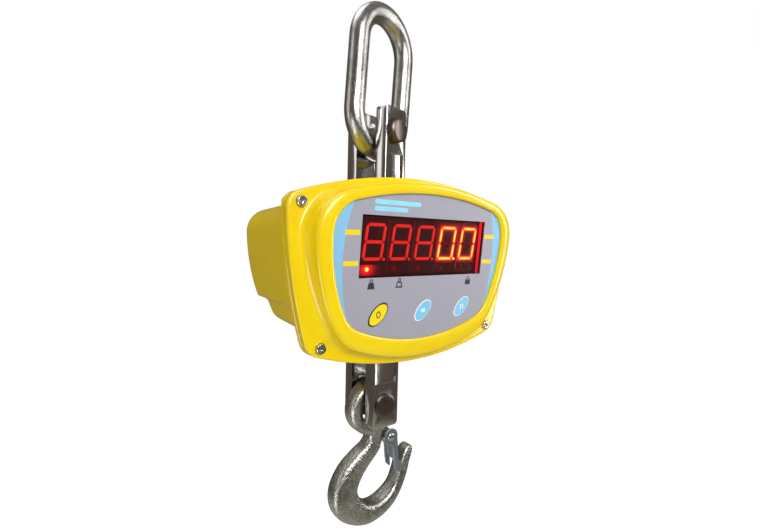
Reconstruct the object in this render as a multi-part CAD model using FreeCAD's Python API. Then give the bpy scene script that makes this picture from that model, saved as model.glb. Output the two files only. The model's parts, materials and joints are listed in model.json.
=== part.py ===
"""Hanging crane scale: lifting link, swivelling top fork, load cell in a yellow housing
with an LED display, bottom fork, and a load hook with a sprung safety latch.

Everything is drawn about the load column: the column's axis is x = y = 0, z = 0 is the
height of the display window's centre, and the display looks towards -Y.  save() then
moves each piece into the part's own frame, whose origin is the seat inside the top of
the lifting link where a crane's hook takes hold, with +Z up.  Sizes are millimetres.
"""
import FreeCAD
import Part
import math
import os
from FreeCAD import Vector

# ---- load train -------------------------------------------------------------------
TOP_PIN_Z = 112.0            # top pin above the window centre
BOTTOM_PIN_Z = -160.2        # bottom pin below it
PIN_DIAMETER = 14.0
PIN_HEAD_DIAMETER = 24.0
PIN_HEAD_THICK = 6.0
LOW_HEAD_THICK = 2.6          # the bottom pin's head is a low one
PIN_HEAD_BEVEL = 1.6
PIN_TAIL = 1.5               # pin beyond its retaining ring, besides one ring's thickness
PIN_FIT = 0.05               # radial clearance of a pin in a fork
LOOSE_GAP = 0.3              # play kept between a loose link or eye and its pin
RING_THICK = 1.5             # retaining rings
RING_OUT = 3.5               # how far a ring stands out from its pin
RING_GAP = 0.5               # between a ring and its fork
RING_GROOVE = 1.0            # depth of the pin's groove for the ring
RING_MOUTH = 7.0             # the ring's opening

LINK_BAR = 20.0
LINK_WIDTH = 90.0
LINK_HEIGHT = 156.0
LINK_LEAN = 4.5              # the link leans towards +X by this many degrees
FORK_TURN = 13.9             # the top fork is swivelled by this from the housing

FORK_WIDTH = 32.0
FORK_DEPTH = 49.0
FORK_SLOT = 25.0             # gap between the two cheeks
FORK_TIP = 22.0              # pin centre to the cheeks' ends
FORK_THROAT = 46.0           # pin centre to the floor of the slot
FORK_BASE = 56.0             # pin centre to the fork's shoulder
FORK_CORNER = 3.5
RELIEF_DEPTH = 2.5           # shallow milled pocket in the outer face of each cheek
RELIEF_RIM = 3.2
RELIEF_START = 22.5
STEM_DIAMETER = 26.0
STEM_FIT = 0.05

# ---- load cell --------------------------------------------------------------------
CELL_WIDTH = 44.0
CELL_DEPTH = 40.0
CELL_TOP_GAP = 0.24          # under the top seal's inner lip
CELL_BOTTOM_GAP = 0.74       # over the bottom seal's inner lip
YOKE_ROOF = 14.0             # solid above the yoke's window
YOKE_WINDOW_WIDTH = 34.0     # holds the swivel's bearing and nut
YOKE_WINDOW_HEIGHT = 32.0
GAUGE_BORE = 22.0            # two bores joined by a slot thin the beam for the gauges
GAUGE_UPPER_Z = -27.0
GAUGE_LOWER_Z = -52.0
GAUGE_SLOT = 4.0
GAUGE_COVER = (36.0, 46.0, 1.5)
BEARING_OUTER = 33.0
BEARING_THICK = 6.0
NUT_DIAMETER = 32.0
NUT_THICK = 13.0
LOCK_PIN_DIAMETER = 4.0
LOCK_PIN_SPARE = 0.02
FOOT_SOCKET_DEPTH = 19.0

# ---- housing outlines: (height above, below, half width, widest height, radii ...) --
PARTING_Y = -59.0            # centre of the joint between cover and rear housing
FLANGE_THICK = 6.5
GASKET_THICK = 1.0
GASKET_SETBACK = 1.2
SHELL_DRAFT = 5.5            # the shell's back is this much inside its front, all round
SHELL_BACK_Y = 70.0
SHELL_BACK_ROUND = 16.0
SHELL_STEP_Z = -54.0         # below this the shell is narrower and shallower
SHELL_STEP_IN = 7.0
SHELL_STEP_BACK = 8.0
WALL = 3.0
FACE_TILT = 4.8              # the display face leans forward at its top
FACE_Y = -80.7               # the label's surface at the window centre
RIM_PROUD = 3.0              # the rim stands this far in front of the label
RIM_ROUND = 3.5
LABEL_THICK = 1.0

# ---- display and keys, on the tilted face (u to the right, v up the face) -----------
WINDOW_WIDTH = 143.0
WINDOW_HEIGHT = 50.2
WINDOW_THICK = 2.5
FIT_GAP = 0.15               # around pieces set in an opening
DIGIT_COUNT = 5
DIGIT_PITCH = 27.4
DIGIT_HEIGHT = 39.0
DIGIT_THICK = 10.0
DIGIT_V = 4.5
DIGIT_SET_BACK = 4.6         # module's face behind the label's surface
BOARD_THICK = 1.6
BOARD_INSET = 9.0
LED_DIAMETER = 4.0
LED_V = -19.0
LED_OFFSETS = (-61.0, -33.5, -6.0, 21.5, 49.0)
HOLDER_HEIGHT = 9.5          # black strip that holds the lamps
HOLDER_GAP = 0.2             # between the strip and the digits
HOLDER_SET_BACK = 1.0        # the strip's face behind the lamps' ends
KEY_OFFSETS = {"zero_button": -49.6, "unit_button": 0.0, "hold_button": 49.6}
KEY_V = -56.4
KEY_LONG = 23.7
KEY_SHORT = 13.6
KEY_SLANT = 45.0
KEY_PROUD = 0.4
KEY_GAP = 0.3
KEY_COLLAR = 1.2             # hidden collar that keeps the key in
KEY_TRAVEL = 0.8
KEY_STEM = 4.0

# ---- fasteners ----------------------------------------------------------------------
COVER_SCREW = 5.0
COVER_SCREW_HEAD = 8.5
COVER_SCREW_HEAD_HEIGHT = 5.0
COVER_SCREW_SUNK = 2.6
COVER_SCREW_LENGTH = 14.0
COVER_SCREW_HEX = 4.0
SCREW_SPOTS = ((115.5, 33.0), (97.5, -80.5))
BOSS_DIAMETER = 12.0
BOSS_LENGTH = 15.0
INSERT_DIAMETER = 7.0
SMALL_SCREW = 3.0
SMALL_HEAD = 5.5
SMALL_HEAD_HEIGHT = 2.0
STRAP_SCREW = 5.0
STRAP_HEAD = 9.0
STRAP_HEAD_HEIGHT = 3.0

# ---- inside the housing -----------------------------------------------------------
MAIN_BOARD = (112.0, 66.0)
MAIN_BOARD_V = 0.0
BOARD_SPACING = 12.0
SPACER_DIAMETER = 6.0
BATTERY = (108.0, 28.0, 50.0)
BATTERY_Z = -12.0
BATTERY_Y = 43.0
CRADLE_THICK = 1.5
STRAP_HEIGHT = 10.0
STRAP_THICK = 3.0
STRAPS = ((34.0, 56.0), (-10.0, 75.0))   # height and half length of each strap
STRAP_END = 6.0              # from a strap's end to its screw
SEAL_SLACK = 1.4             # the wall slopes by less than this under a seal's lip
SEAL_GAP = 0.6
SEAL_LIP = 6.0
SEAL_THICK = 2.0
SOCKET_X = -79.0
SOCKET_Z = -24.0
SOCKET_FLANGE = 16.0
SOCKET_BODY = 12.0
SOCKET_BORE = 6.4
PLATE_LABEL = (60.0, 34.0, 0.5)

# ---- hook, from the bottom pin's centre (x, z) ----------------------------------------
EYE_DROP = 8.0               # the eye's centre hangs below the pin
EYE_OUTER = 28.5
EYE_THICK = 19.0
HOOK_THICK = 19.0
BOWL_CENTRE = (6.0, -88.0)
BOWL_RADIUS = 26.0
EYE_ROUND = 4.5
LATCH_PIVOT = (21.5, -43.5)
LATCH_BOSS = 6.5
LATCH_HEAD = 9.0
LATCH_SHEET = 1.6
LATCH_INNER = 15.0           # between the latch's cheeks
LATCH_RIVET = 5.0
LATCH_TIP = (31.2, -85.9)
EAR_THICK = 9.0              # the hook's ear for the latch's rivet
LATCH_RELIEF = 15.0          # radius about the rivet where the hook is as thin as its ear
SPRING_WIRE = 1.2

Z_AXIS = Vector(0, 0, 1)
Y_AXIS = Vector(0, 1, 0)
X_AXIS = Vector(1, 0, 0)
PIN_RADIUS = PIN_DIAMETER / 2
BAR_RADIUS = LINK_BAR / 2


# ---- frames -----------------------------------------------------------------------
def seat_from_pin():
    """Vector from the top pin's centre to the crane-hook seat inside the link."""
    reach = LINK_HEIGHT - 2 * LINK_BAR - PIN_RADIUS - LOOSE_GAP
    lean = math.radians(LINK_LEAN)
    turn = math.radians(FORK_TURN)
    across = reach * math.sin(lean)
    return Vector(across * math.cos(turn), across * math.sin(turn), reach * math.cos(lean))


SEAT = Vector(0, 0, TOP_PIN_Z) + seat_from_pin()


def save(name, shape):
    """Move a finished piece from the column's frame to the seat's and write its file."""
    placed = shape.copy()
    placed.translate(-SEAT)
    placed.exportStep(f"parts/{name}.step")
    volume = placed.Volume / 1000
    print(f"{name:20s} {len(placed.Solids)} solids {volume:9.2f} cm3 valid {placed.isValid()}")


def on_face(shape):
    """Place a piece drawn as (u, depth, v), with -Y outwards, on the tilted display face."""
    placed = shape.copy()
    placed.rotate(Vector(0, 0, 0), X_AXIS, FACE_TILT)
    placed.translate(Vector(0, FACE_Y, 0))
    return placed


def in_top_fork(shape):
    """Turn a piece drawn about the top pin by the swivel's angle and lift it into place."""
    placed = shape.copy()
    placed.rotate(Vector(0, 0, 0), Z_AXIS, FORK_TURN)
    placed.translate(Vector(0, 0, TOP_PIN_Z))
    return placed


def at_bottom_pin(shape):
    """Lower a piece drawn about the bottom pin into place."""
    placed = shape.copy()
    placed.translate(Vector(0, 0, BOTTOM_PIN_Z))
    return placed


# ---- basic solids -------------------------------------------------------------------
def block(x0, x1, y0, y1, z0, z1):
    return Part.makeBox(x1 - x0, y1 - y0, z1 - z0, Vector(x0, y0, z0))


def rod_y(radius, x, z, y0, y1):
    """Cylinder along Y from y0 to y1."""
    return Part.makeCylinder(radius, y1 - y0, Vector(x, y0, z), Y_AXIS)


def rod_z(radius, z0, z1, x=0.0, y=0.0):
    return Part.makeCylinder(radius, z1 - z0, Vector(x, y, z0), Z_AXIS)


def rod_x(radius, x0, x1, y=0.0, z=0.0):
    return Part.makeCylinder(radius, x1 - x0, Vector(x0, y, z), X_AXIS)


def group(solids):
    return Part.makeCompound(solids)


def pocket_hexagon(across, x, z, y0, y1):
    """Hexagonal prism along Y, for a hex socket or a spacer."""
    corner = across / math.sqrt(3)
    points = []
    for i in range(7):
        angle = math.radians(60 * i)
        points.append(Vector(x + corner * math.cos(angle), y0, z + corner * math.sin(angle)))
    return Part.Face(Part.makePolygon(points)).extrude(Vector(0, y1 - y0, 0))


# ---- shield outlines ----------------------------------------------------------------
class Shield:
    """Rounded shield: one wide arc across the top, one down each side and one below,
    with the corners between them rounded.  An inset copy has every radius smaller."""

    def __init__(self, top, top_radius, half_width, widest, side_radius, bottom,
                 bottom_radius, top_corner, bottom_corner):
        self.top = top
        self.top_radius = top_radius
        self.half_width = half_width
        self.widest = widest
        self.side_radius = side_radius
        self.bottom = bottom
        self.bottom_radius = bottom_radius
        self.top_corner = top_corner
        self.bottom_corner = bottom_corner

    def inset(self, d):
        return Shield(self.top - d, self.top_radius - d, self.half_width - d, self.widest,
                      self.side_radius - d, self.bottom + d, self.bottom_radius - d,
                      max(self.top_corner - d, 3.0), max(self.bottom_corner - d, 3.0))

    def narrowed(self, d):
        """Copy with its sides moved in by d and its top and bottom kept."""
        return Shield(self.top, self.top_radius, self.half_width - d, self.widest,
                      self.side_radius, self.bottom, self.bottom_radius,
                      self.top_corner, self.bottom_corner)

    def wire(self, y=0.0):
        """Closed wire of eight tangent arcs in the plane at y."""
        top_c = (0.0, self.top - self.top_radius)
        side_c = (self.half_width - self.side_radius, self.widest)
        low_c = (0.0, self.bottom + self.bottom_radius)
        upper = tangent_corner(top_c, self.top_radius, side_c, self.side_radius, self.top_corner, 1)
        lower = tangent_corner(low_c, self.bottom_radius, side_c, self.side_radius,
                               self.bottom_corner, -1)
        top_end, top_mid, side_start = upper
        low_end, low_mid, side_end = lower
        side_mid = point_between(side_c, self.side_radius, side_start, side_end)
        right = [(top_end, top_mid, side_start), (side_start, side_mid, side_end),
                 (side_end, low_mid, low_end)]
        edges = [arc((-top_end[0], top_end[1]), (0.0, self.top), top_end, y)]
        for start, middle, end in right:
            edges.append(arc(start, middle, end, y))
        edges.append(arc(low_end, (0.0, self.bottom), (-low_end[0], low_end[1]), y))
        for start, middle, end in reversed(right):
            edges.append(arc(flip(end), flip(middle), flip(start), y))
        return Part.Wire(edges)

    def plate(self, y0, y1):
        return Part.Face(self.wire(y0)).extrude(Vector(0, y1 - y0, 0))


def flip(point):
    return (-point[0], point[1])


def arc(start, middle, end, y):
    points = [Vector(p[0], y, p[1]) for p in (start, middle, end)]
    return Part.Arc(*points).toShape()


def point_between(centre, radius, start, end):
    """Point of a circle halfway between two of its points."""
    mid = ((start[0] + end[0]) / 2 - centre[0], (start[1] + end[1]) / 2 - centre[1])
    length = math.hypot(*mid)
    return (centre[0] + mid[0] / length * radius, centre[1] + mid[1] / length * radius)


def tangent_corner(first_c, first_r, side_c, side_r, corner, sign):
    """Corner arc that touches two larger circles from inside: its two ends and middle.
    sign is +1 for the corner above the side arc and -1 for the one below it."""
    reach_a = first_r - corner
    reach_b = side_r - corner
    dx = side_c[0] - first_c[0]
    dz = side_c[1] - first_c[1]
    gap = math.hypot(dx, dz)
    along = (reach_a ** 2 - reach_b ** 2 + gap ** 2) / (2 * gap)
    off = math.sqrt(reach_a ** 2 - along ** 2)
    foot = (first_c[0] + along * dx / gap, first_c[1] + along * dz / gap)
    options = []
    for side in (1, -1):
        options.append((foot[0] - side * off * dz / gap, foot[1] + side * off * dx / gap))
    centre = max(options, key=lambda p: p[0] + sign * p[1])
    ends = []
    for big, radius in ((first_c, first_r), (side_c, side_r)):
        away = (centre[0] - big[0], centre[1] - big[1])
        length = math.hypot(*away)
        ends.append((big[0] + away[0] / length * radius, big[1] + away[1] / length * radius))
    middle = point_between(centre, corner, ends[0], ends[1])
    return ends[0], middle, ends[1]


FLANGE = Shield(60.5, 366.0, 127.0, 40.0, 430.0, -104.0, 316.0, 13.0, 15.0)
BEZEL_FOOT = Shield(56.0, 340.0, 117.5, 15.0, 205.0, -101.0, 200.0, 42.0, 40.0)
SHELL = Shield(51.5, 357.0, 118.0, 14.0, 200.0, -95.0, 307.0, 28.0, 24.0)
RIM = Shield(54.0, 326.0, 111.0, 12.0, 160.0, -98.0, 192.0, 35.0, 40.0)
LABEL = Shield(45.6, 318.0, 97.0, 8.0, 146.0, -81.5, 185.0, 27.0, 30.0)

COVER_FRONT_Y = PARTING_Y - GASKET_THICK / 2 - FLANGE_THICK
COVER_BACK_Y = PARTING_Y - GASKET_THICK / 2
SHELL_FRONT_Y = PARTING_Y + GASKET_THICK / 2


def wall_at_column():
    """How far the shell's outline has drawn in where the column passes through it."""
    share = (0.0 - SHELL_FRONT_Y) / (SHELL_BACK_Y - SHELL_BACK_ROUND - SHELL_FRONT_Y)
    return SHELL_DRAFT * share


# The load cell stands between the inner lips of the two seals.
SEAL_INSIDE = wall_at_column() + WALL + SEAL_SLACK + SEAL_THICK
CELL_TOP_Z = SHELL.top - SEAL_INSIDE - CELL_TOP_GAP
CELL_BOTTOM_Z = SHELL.bottom + SEAL_INSIDE + CELL_BOTTOM_GAP


# ---- lifting link and top fork --------------------------------------------------------
def lifting_link():
    """Round bar bent to a long loop; drawn from the pin it hangs on, then leaned."""
    bend = (LINK_WIDTH - LINK_BAR) / 2
    low = bend - (PIN_RADIUS + LOOSE_GAP + BAR_RADIUS)
    high = low + LINK_HEIGHT - LINK_WIDTH
    loop = []
    for z, start in ((low, 180), (high, 0)):
        torus = Part.makeTorus(bend, BAR_RADIUS, Vector(0, 0, z), Y_AXIS, 0, 360, 360)
        side = -1 if start else 1
        z0 = z if side > 0 else z - 2 * bend
        loop.append(torus.common(block(-2 * bend, 2 * bend, -LINK_BAR, LINK_BAR, z0, z0 + 2 * bend)))
    for x in (-bend, bend):
        loop.append(rod_z(BAR_RADIUS, low, high, x))
    shape = loop[0].multiFuse(loop[1:]).removeSplitter()
    shape.rotate(Vector(0, 0, 0), Y_AXIS, LINK_LEAN)
    return in_top_fork(shape)


def fork():
    """Two cheeks on a base, drawn about the pin with the cheeks' ends up."""
    half_w = FORK_WIDTH / 2
    half_d = FORK_DEPTH / 2
    body = block(-half_w, half_w, -half_d, half_d, -FORK_BASE, FORK_TIP)
    ends = []
    for edge in body.Edges:
        middle = edge.CenterOfMass
        if abs(middle.z - FORK_TIP) < 1e-6 and abs(abs(middle.x) - half_w) < 1e-6:
            ends.append(edge)
    body = body.makeFillet(FORK_CORNER, ends)
    slot = FORK_SLOT / 2
    body = body.cut(block(-half_w, half_w, -slot, slot, -FORK_THROAT, FORK_TIP))
    for side in (-1, 1):
        outer = side * half_d
        inner = side * (half_d - RELIEF_DEPTH)
        pocket = block(-half_w + RELIEF_RIM, half_w - RELIEF_RIM, min(outer, inner),
                       max(outer, inner), -FORK_BASE, -RELIEF_START)
        body = body.cut(pocket)
    return body.cut(rod_y(PIN_RADIUS + PIN_FIT, 0, 0, -half_d, half_d))


def top_fork():
    """Fork whose round stem turns in the load cell's yoke."""
    stem_bottom = CELL_TOP_Z - YOKE_ROOF - BEARING_THICK - NUT_THICK - TOP_PIN_Z
    shape = fork().fuse(rod_z(STEM_DIAMETER / 2, stem_bottom, -FORK_BASE)).removeSplitter()
    lock = rod_x(LOCK_PIN_DIAMETER / 2 + LOCK_PIN_SPARE, -NUT_DIAMETER, NUT_DIAMETER,
                 0, stem_bottom + NUT_THICK / 2)
    return in_top_fork(shape.cut(lock))


def fork_pin(head_thick):
    """Headed pin through a fork, with a groove for the retaining ring behind."""
    front = -FORK_DEPTH / 2
    back = FORK_DEPTH / 2 + 2 * RING_THICK + PIN_TAIL
    shape = rod_y(PIN_RADIUS, 0, 0, front - head_thick / 2, back)
    head = rod_y(PIN_HEAD_DIAMETER / 2, 0, 0, front - head_thick, front)
    face = min(head.Faces, key=lambda each: each.CenterOfMass.y)
    head = head.makeChamfer(PIN_HEAD_BEVEL * head_thick / PIN_HEAD_THICK, face.Edges)
    shape = shape.fuse(head).removeSplitter()
    groove_y = FORK_DEPTH / 2 + RING_GAP
    groove = rod_y(PIN_RADIUS + 1, 0, 0, groove_y, groove_y + RING_THICK)
    core = rod_y(PIN_RADIUS - RING_GROOVE, 0, 0, groove_y, groove_y + RING_THICK)
    return shape.cut(groove.cut(core))


def retaining_ring():
    """Spring ring in the pin's groove, open at the bottom."""
    y0 = FORK_DEPTH / 2 + RING_GAP
    ring = rod_y(PIN_RADIUS + RING_OUT, 0, 0, y0, y0 + RING_THICK)
    ring = ring.cut(rod_y(PIN_RADIUS - RING_GROOVE + LOCK_PIN_SPARE, 0, 0, y0, y0 + RING_THICK))
    half_gap = RING_MOUTH / 2
    return ring.cut(block(-half_gap, half_gap, y0, y0 + RING_THICK, -2 * PIN_RADIUS, 0))


def swivel_nut():
    top = CELL_TOP_Z - YOKE_ROOF - BEARING_THICK
    shape = rod_z(NUT_DIAMETER / 2, top - NUT_THICK, top)
    shape = shape.cut(rod_z(STEM_DIAMETER / 2, top - NUT_THICK, top))
    lock = rod_x(LOCK_PIN_DIAMETER / 2 + LOCK_PIN_SPARE, -NUT_DIAMETER, NUT_DIAMETER,
                 0, top - NUT_THICK / 2)
    shape = shape.cut(lock)
    shape.rotate(Vector(0, 0, 0), Z_AXIS, FORK_TURN)
    return shape


def swivel_lock_pin():
    z = CELL_TOP_Z - YOKE_ROOF - BEARING_THICK - NUT_THICK / 2
    shape = rod_x(LOCK_PIN_DIAMETER / 2, -NUT_DIAMETER / 2, NUT_DIAMETER / 2, 0, z)
    shape.rotate(Vector(0, 0, 0), Z_AXIS, FORK_TURN)
    return shape


def thrust_bearing():
    """Hardened washer ring between the yoke's roof and the nut; it turns with the nut."""
    top = CELL_TOP_Z - YOKE_ROOF
    inner = STEM_DIAMETER / 2 + STEM_FIT
    race = (BEARING_THICK - 3.0) / 2
    rings = []
    for z0 in (top - race, top - BEARING_THICK):
        ring = rod_z(BEARING_OUTER / 2, z0, z0 + race)
        rings.append(ring.cut(rod_z(inner, z0, z0 + race)))
    ball_circle = (BEARING_OUTER / 2 + inner) / 2
    for i in range(20):
        angle = math.radians(18 * i)
        centre = Vector(ball_circle * math.cos(angle), ball_circle * math.sin(angle),
                        top - BEARING_THICK / 2)
        rings.append(Part.makeSphere(1.45, centre))
    return group(rings)


# ---- load cell and bottom fork --------------------------------------------------------
def load_cell():
    half_w = CELL_WIDTH / 2
    half_d = CELL_DEPTH / 2
    body = block(-half_w, half_w, -half_d, half_d, CELL_BOTTOM_Z, CELL_TOP_Z)
    roof = CELL_TOP_Z - YOKE_ROOF
    window = block(-YOKE_WINDOW_WIDTH / 2, YOKE_WINDOW_WIDTH / 2, -half_d, half_d,
                   roof - YOKE_WINDOW_HEIGHT, roof)
    body = body.cut(window)
    body = body.cut(rod_z(STEM_DIAMETER / 2 + STEM_FIT, roof, CELL_TOP_Z))
    for z in (GAUGE_UPPER_Z, GAUGE_LOWER_Z):
        body = body.cut(rod_y(GAUGE_BORE / 2, 0, z, -half_d, half_d))
    body = body.cut(block(-GAUGE_SLOT / 2, GAUGE_SLOT / 2, -half_d, half_d,
                          GAUGE_LOWER_Z, GAUGE_UPPER_Z))
    socket = rod_z(STEM_DIAMETER / 2 + STEM_FIT, CELL_BOTTOM_Z, CELL_BOTTOM_Z + FOOT_SOCKET_DEPTH)
    body = body.cut(socket)
    body = body.cut(rod_x(LOCK_PIN_DIAMETER / 2 + LOCK_PIN_SPARE, -half_w, half_w, 0, foot_pin_z()))
    for z, _ in STRAPS:
        for x in strap_screw_offsets():
            body = body.cut(rod_y(STRAP_SCREW / 2, x, z, half_d - 9.0, half_d))
    return body


def foot_pin_z():
    return CELL_BOTTOM_Z + FOOT_SOCKET_DEPTH / 2


def strap_screw_offsets():
    inset = (CELL_WIDTH - YOKE_WINDOW_WIDTH) / 2 + 1.0
    return (-CELL_WIDTH / 2 + inset, CELL_WIDTH / 2 - inset)


def bottom_fork():
    """Fork pointing down; its stem is pinned in the load cell's foot."""
    shape = fork()
    shape.rotate(Vector(0, 0, 0), Y_AXIS, 180)
    shape.translate(Vector(0, 0, BOTTOM_PIN_Z))
    stem_top = CELL_BOTTOM_Z + FOOT_SOCKET_DEPTH - 1.0
    shape = shape.fuse(rod_z(STEM_DIAMETER / 2, BOTTOM_PIN_Z + FORK_BASE, stem_top)).removeSplitter()
    return shape.cut(rod_x(LOCK_PIN_DIAMETER / 2 + LOCK_PIN_SPARE, -CELL_WIDTH, CELL_WIDTH,
                           0, foot_pin_z()))


def foot_lock_pin():
    return rod_x(LOCK_PIN_DIAMETER / 2, -CELL_WIDTH / 2, CELL_WIDTH / 2, 0, foot_pin_z())


def gauge_covers():
    width, height, thick = GAUGE_COVER
    z = (GAUGE_UPPER_Z + GAUGE_LOWER_Z) / 2
    front = block(-width / 2, width / 2, -CELL_DEPTH / 2 - thick, -CELL_DEPTH / 2,
                  z - height / 2, z + height / 2)
    back = front.copy()
    back.translate(Vector(0, CELL_DEPTH + thick, 0))
    return group([front, back])


# ---- front cover and what it carries ---------------------------------------------------
def on_face_wire(shield, forward):
    """A shield's wire on the tilted face, moved out of the label's surface."""
    return on_face(shield.wire(-forward))


def front_cover():
    """Flange with a raised bezel; the label, window, keys and boards sit in it."""
    flange = FLANGE.plate(COVER_FRONT_Y, COVER_BACK_Y)
    bezel = Part.makeLoft([BEZEL_FOOT.wire(COVER_FRONT_Y + 1.0), on_face_wire(RIM, RIM_PROUD)],
                          True, True)
    front_face = min(bezel.Faces, key=lambda face: face.CenterOfMass.y)
    bezel = bezel.makeFillet(RIM_ROUND, front_face.Edges)
    shape = flange.fuse(bezel)
    cavity = Part.makeLoft([BEZEL_FOOT.inset(WALL).wire(COVER_BACK_Y),
                            on_face_wire(RIM.inset(WALL + RIM_ROUND), -LABEL_THICK - WALL)],
                           True, True)
    shape = shape.cut(cavity)
    bosses = []
    for u, v in board_screw_spots():
        boss = rod_y(SPACER_DIAMETER / 2 + 1.0, u, v, LABEL_THICK + WALL / 2, board_front())
        bosses.append(boss)
    shape = shape.multiFuse([on_face(boss) for boss in bosses]).removeSplitter()
    cuts = [LABEL.inset(-FIT_GAP).plate(-RIM_PROUD - 1.0, LABEL_THICK)]
    cuts.append(window_block(WINDOW_WIDTH + 2 * FIT_GAP, WINDOW_HEIGHT + 2 * FIT_GAP,
                             0.0, LABEL_THICK + WALL + 1.0))
    for offset in KEY_OFFSETS.values():
        cuts.append(key_oval(offset, KEY_GAP, 0.0, LABEL_THICK + WALL + 1.0))
    for u, v in board_screw_spots():
        cuts.append(rod_y(SMALL_SCREW / 2, u, v, board_front() - 7.0, board_front()))
    for cut in cuts:
        shape = shape.cut(on_face(cut))
    for x, z in screw_spots():
        shape = shape.cut(rod_y(COVER_SCREW / 2 + 0.25, x, z, COVER_FRONT_Y - 20, COVER_BACK_Y))
        seat = COVER_FRONT_Y + COVER_SCREW_SUNK
        shape = shape.cut(rod_y(COVER_SCREW_HEAD / 2 + 0.3, x, z, COVER_FRONT_Y - 20, seat))
    return shape


def window_block(width, height, y0, y1):
    return block(-width / 2, width / 2, y0, y1, -height / 2, height / 2)


def key_oval(offset, grow, y0, y1):
    """Slanted oval prism of a key; grow widens it all round."""
    centre = Vector(offset, y0, KEY_V)
    slant = math.radians(KEY_SLANT)
    long_axis = Vector(math.cos(slant), 0, math.sin(slant))
    ellipse = Part.Ellipse(centre + long_axis * (KEY_LONG / 2 + grow),
                           centre + Y_AXIS.cross(long_axis) * (KEY_SHORT / 2 + grow), centre)
    return Part.Face(Part.Wire(ellipse.toShape())).extrude(Vector(0, y1 - y0, 0))


def screw_spots():
    spots = []
    for x, z in SCREW_SPOTS:
        spots.extend([(x, z), (-x, z)])
    return spots


def board_front():
    """Depth of the display board's front behind the label's surface."""
    return DIGIT_SET_BACK + DIGIT_THICK


def board_screw_spots():
    spots = []
    for u, v in ((81.0, 4.0), (68.0, -50.0)):
        spots.extend([(u, v), (-u, v)])
    return spots


def main_board_spots():
    half_u = MAIN_BOARD[0] / 2 - 5.0
    half_v = MAIN_BOARD[1] / 2 - 5.0
    return [(su * half_u, MAIN_BOARD_V + sv * half_v) for su in (-1, 1) for sv in (-1, 1)]


def label_overlay():
    shape = LABEL.plate(0.0, LABEL_THICK)
    shape = shape.cut(window_block(WINDOW_WIDTH + 2 * FIT_GAP, WINDOW_HEIGHT + 2 * FIT_GAP,
                                   0.0, LABEL_THICK))
    for offset in KEY_OFFSETS.values():
        shape = shape.cut(key_oval(offset, KEY_GAP, 0.0, LABEL_THICK))
    return on_face(shape)


def display_window():
    return on_face(window_block(WINDOW_WIDTH, WINDOW_HEIGHT, 0.0, WINDOW_THICK))


def digit_module(index):
    u = (index - (DIGIT_COUNT - 1) / 2) * DIGIT_PITCH
    half = (DIGIT_PITCH - 0.2) / 2
    shape = block(u - half, u + half, DIGIT_SET_BACK, board_front(),
                  DIGIT_V - DIGIT_HEIGHT / 2, DIGIT_V + DIGIT_HEIGHT / 2)
    return on_face(shape)


def indicator_leds():
    leds = []
    for u in LED_OFFSETS:
        leds.append(on_face(rod_y(LED_DIAMETER / 2, u, LED_V, DIGIT_SET_BACK, board_front())))
    return group(leds)


def lamp_holder():
    """Black strip below the digits that holds the lamps off the board."""
    half = DIGIT_COUNT * DIGIT_PITCH / 2 - 0.1
    top = DIGIT_V - DIGIT_HEIGHT / 2 - HOLDER_GAP
    shape = block(-half, half, DIGIT_SET_BACK + HOLDER_SET_BACK, board_front(), top - HOLDER_HEIGHT, top)
    for u in LED_OFFSETS:
        shape = shape.cut(rod_y(LED_DIAMETER / 2 + FIT_GAP, u, LED_V, DIGIT_SET_BACK, board_front()))
    return on_face(shape)


def display_board():
    shape = LABEL.inset(BOARD_INSET).plate(board_front(), board_front() + BOARD_THICK)
    for u, v in board_screw_spots() + main_board_spots():
        shape = shape.cut(rod_y(SMALL_SCREW / 2 + 0.1, u, v, board_front(),
                                board_front() + BOARD_THICK))
    return on_face(shape)


def tact_switches():
    """Small key switches; the button's stem stops a little above each plunger."""
    plunger_top = key_stem_end() + KEY_TRAVEL + 0.2
    switches = []
    for u in KEY_OFFSETS.values():
        case = block(u - 3, u + 3, board_front() - 3.4, board_front(), KEY_V - 3, KEY_V + 3)
        plunger = rod_y(1.7, u, KEY_V, plunger_top, board_front() - 3.4)
        switches.append(on_face(case.fuse(plunger)))
    return group(switches)


def key_stem_end():
    return board_front() - 5.2


def button(offset):
    """Oval key: the cap shows through the label, a collar behind the wall keeps it in."""
    wall_back = LABEL_THICK + WALL
    cap = key_oval(offset, 0.0, -KEY_PROUD, wall_back + 0.2)
    front = min(cap.Faces, key=lambda face: face.CenterOfMass.y)
    cap = cap.makeFillet(0.5, front.Edges)
    collar = key_oval(offset, KEY_COLLAR, wall_back + 0.1, wall_back + 1.2)
    stem = rod_y(KEY_STEM / 2, offset, KEY_V, wall_back + 1.0, key_stem_end())
    return on_face(cap.multiFuse([collar, stem]).removeSplitter())


def board_screws():
    screws = []
    back = board_front() + BOARD_THICK
    for u, v in board_screw_spots():
        shank = rod_y(SMALL_SCREW / 2 - 0.02, u, v, back - 7.0, back)
        head = rod_y(SMALL_HEAD / 2, u, v, back, back + SMALL_HEAD_HEIGHT)
        screws.append(on_face(shank.fuse(head).removeSplitter()))
    return group(screws)


def board_spacers():
    """Hexagonal spacers that carry the main board behind the display board."""
    spacers = []
    front = board_front() + BOARD_THICK
    for u, v in main_board_spots():
        spacer = pocket_hexagon(SPACER_DIAMETER, u, v, front, front + BOARD_SPACING)
        spacers.append(on_face(spacer.cut(rod_y(SMALL_SCREW / 2, u, v, front,
                                                front + BOARD_SPACING))))
    return group(spacers)


def main_board_front():
    return board_front() + BOARD_THICK + BOARD_SPACING


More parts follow.
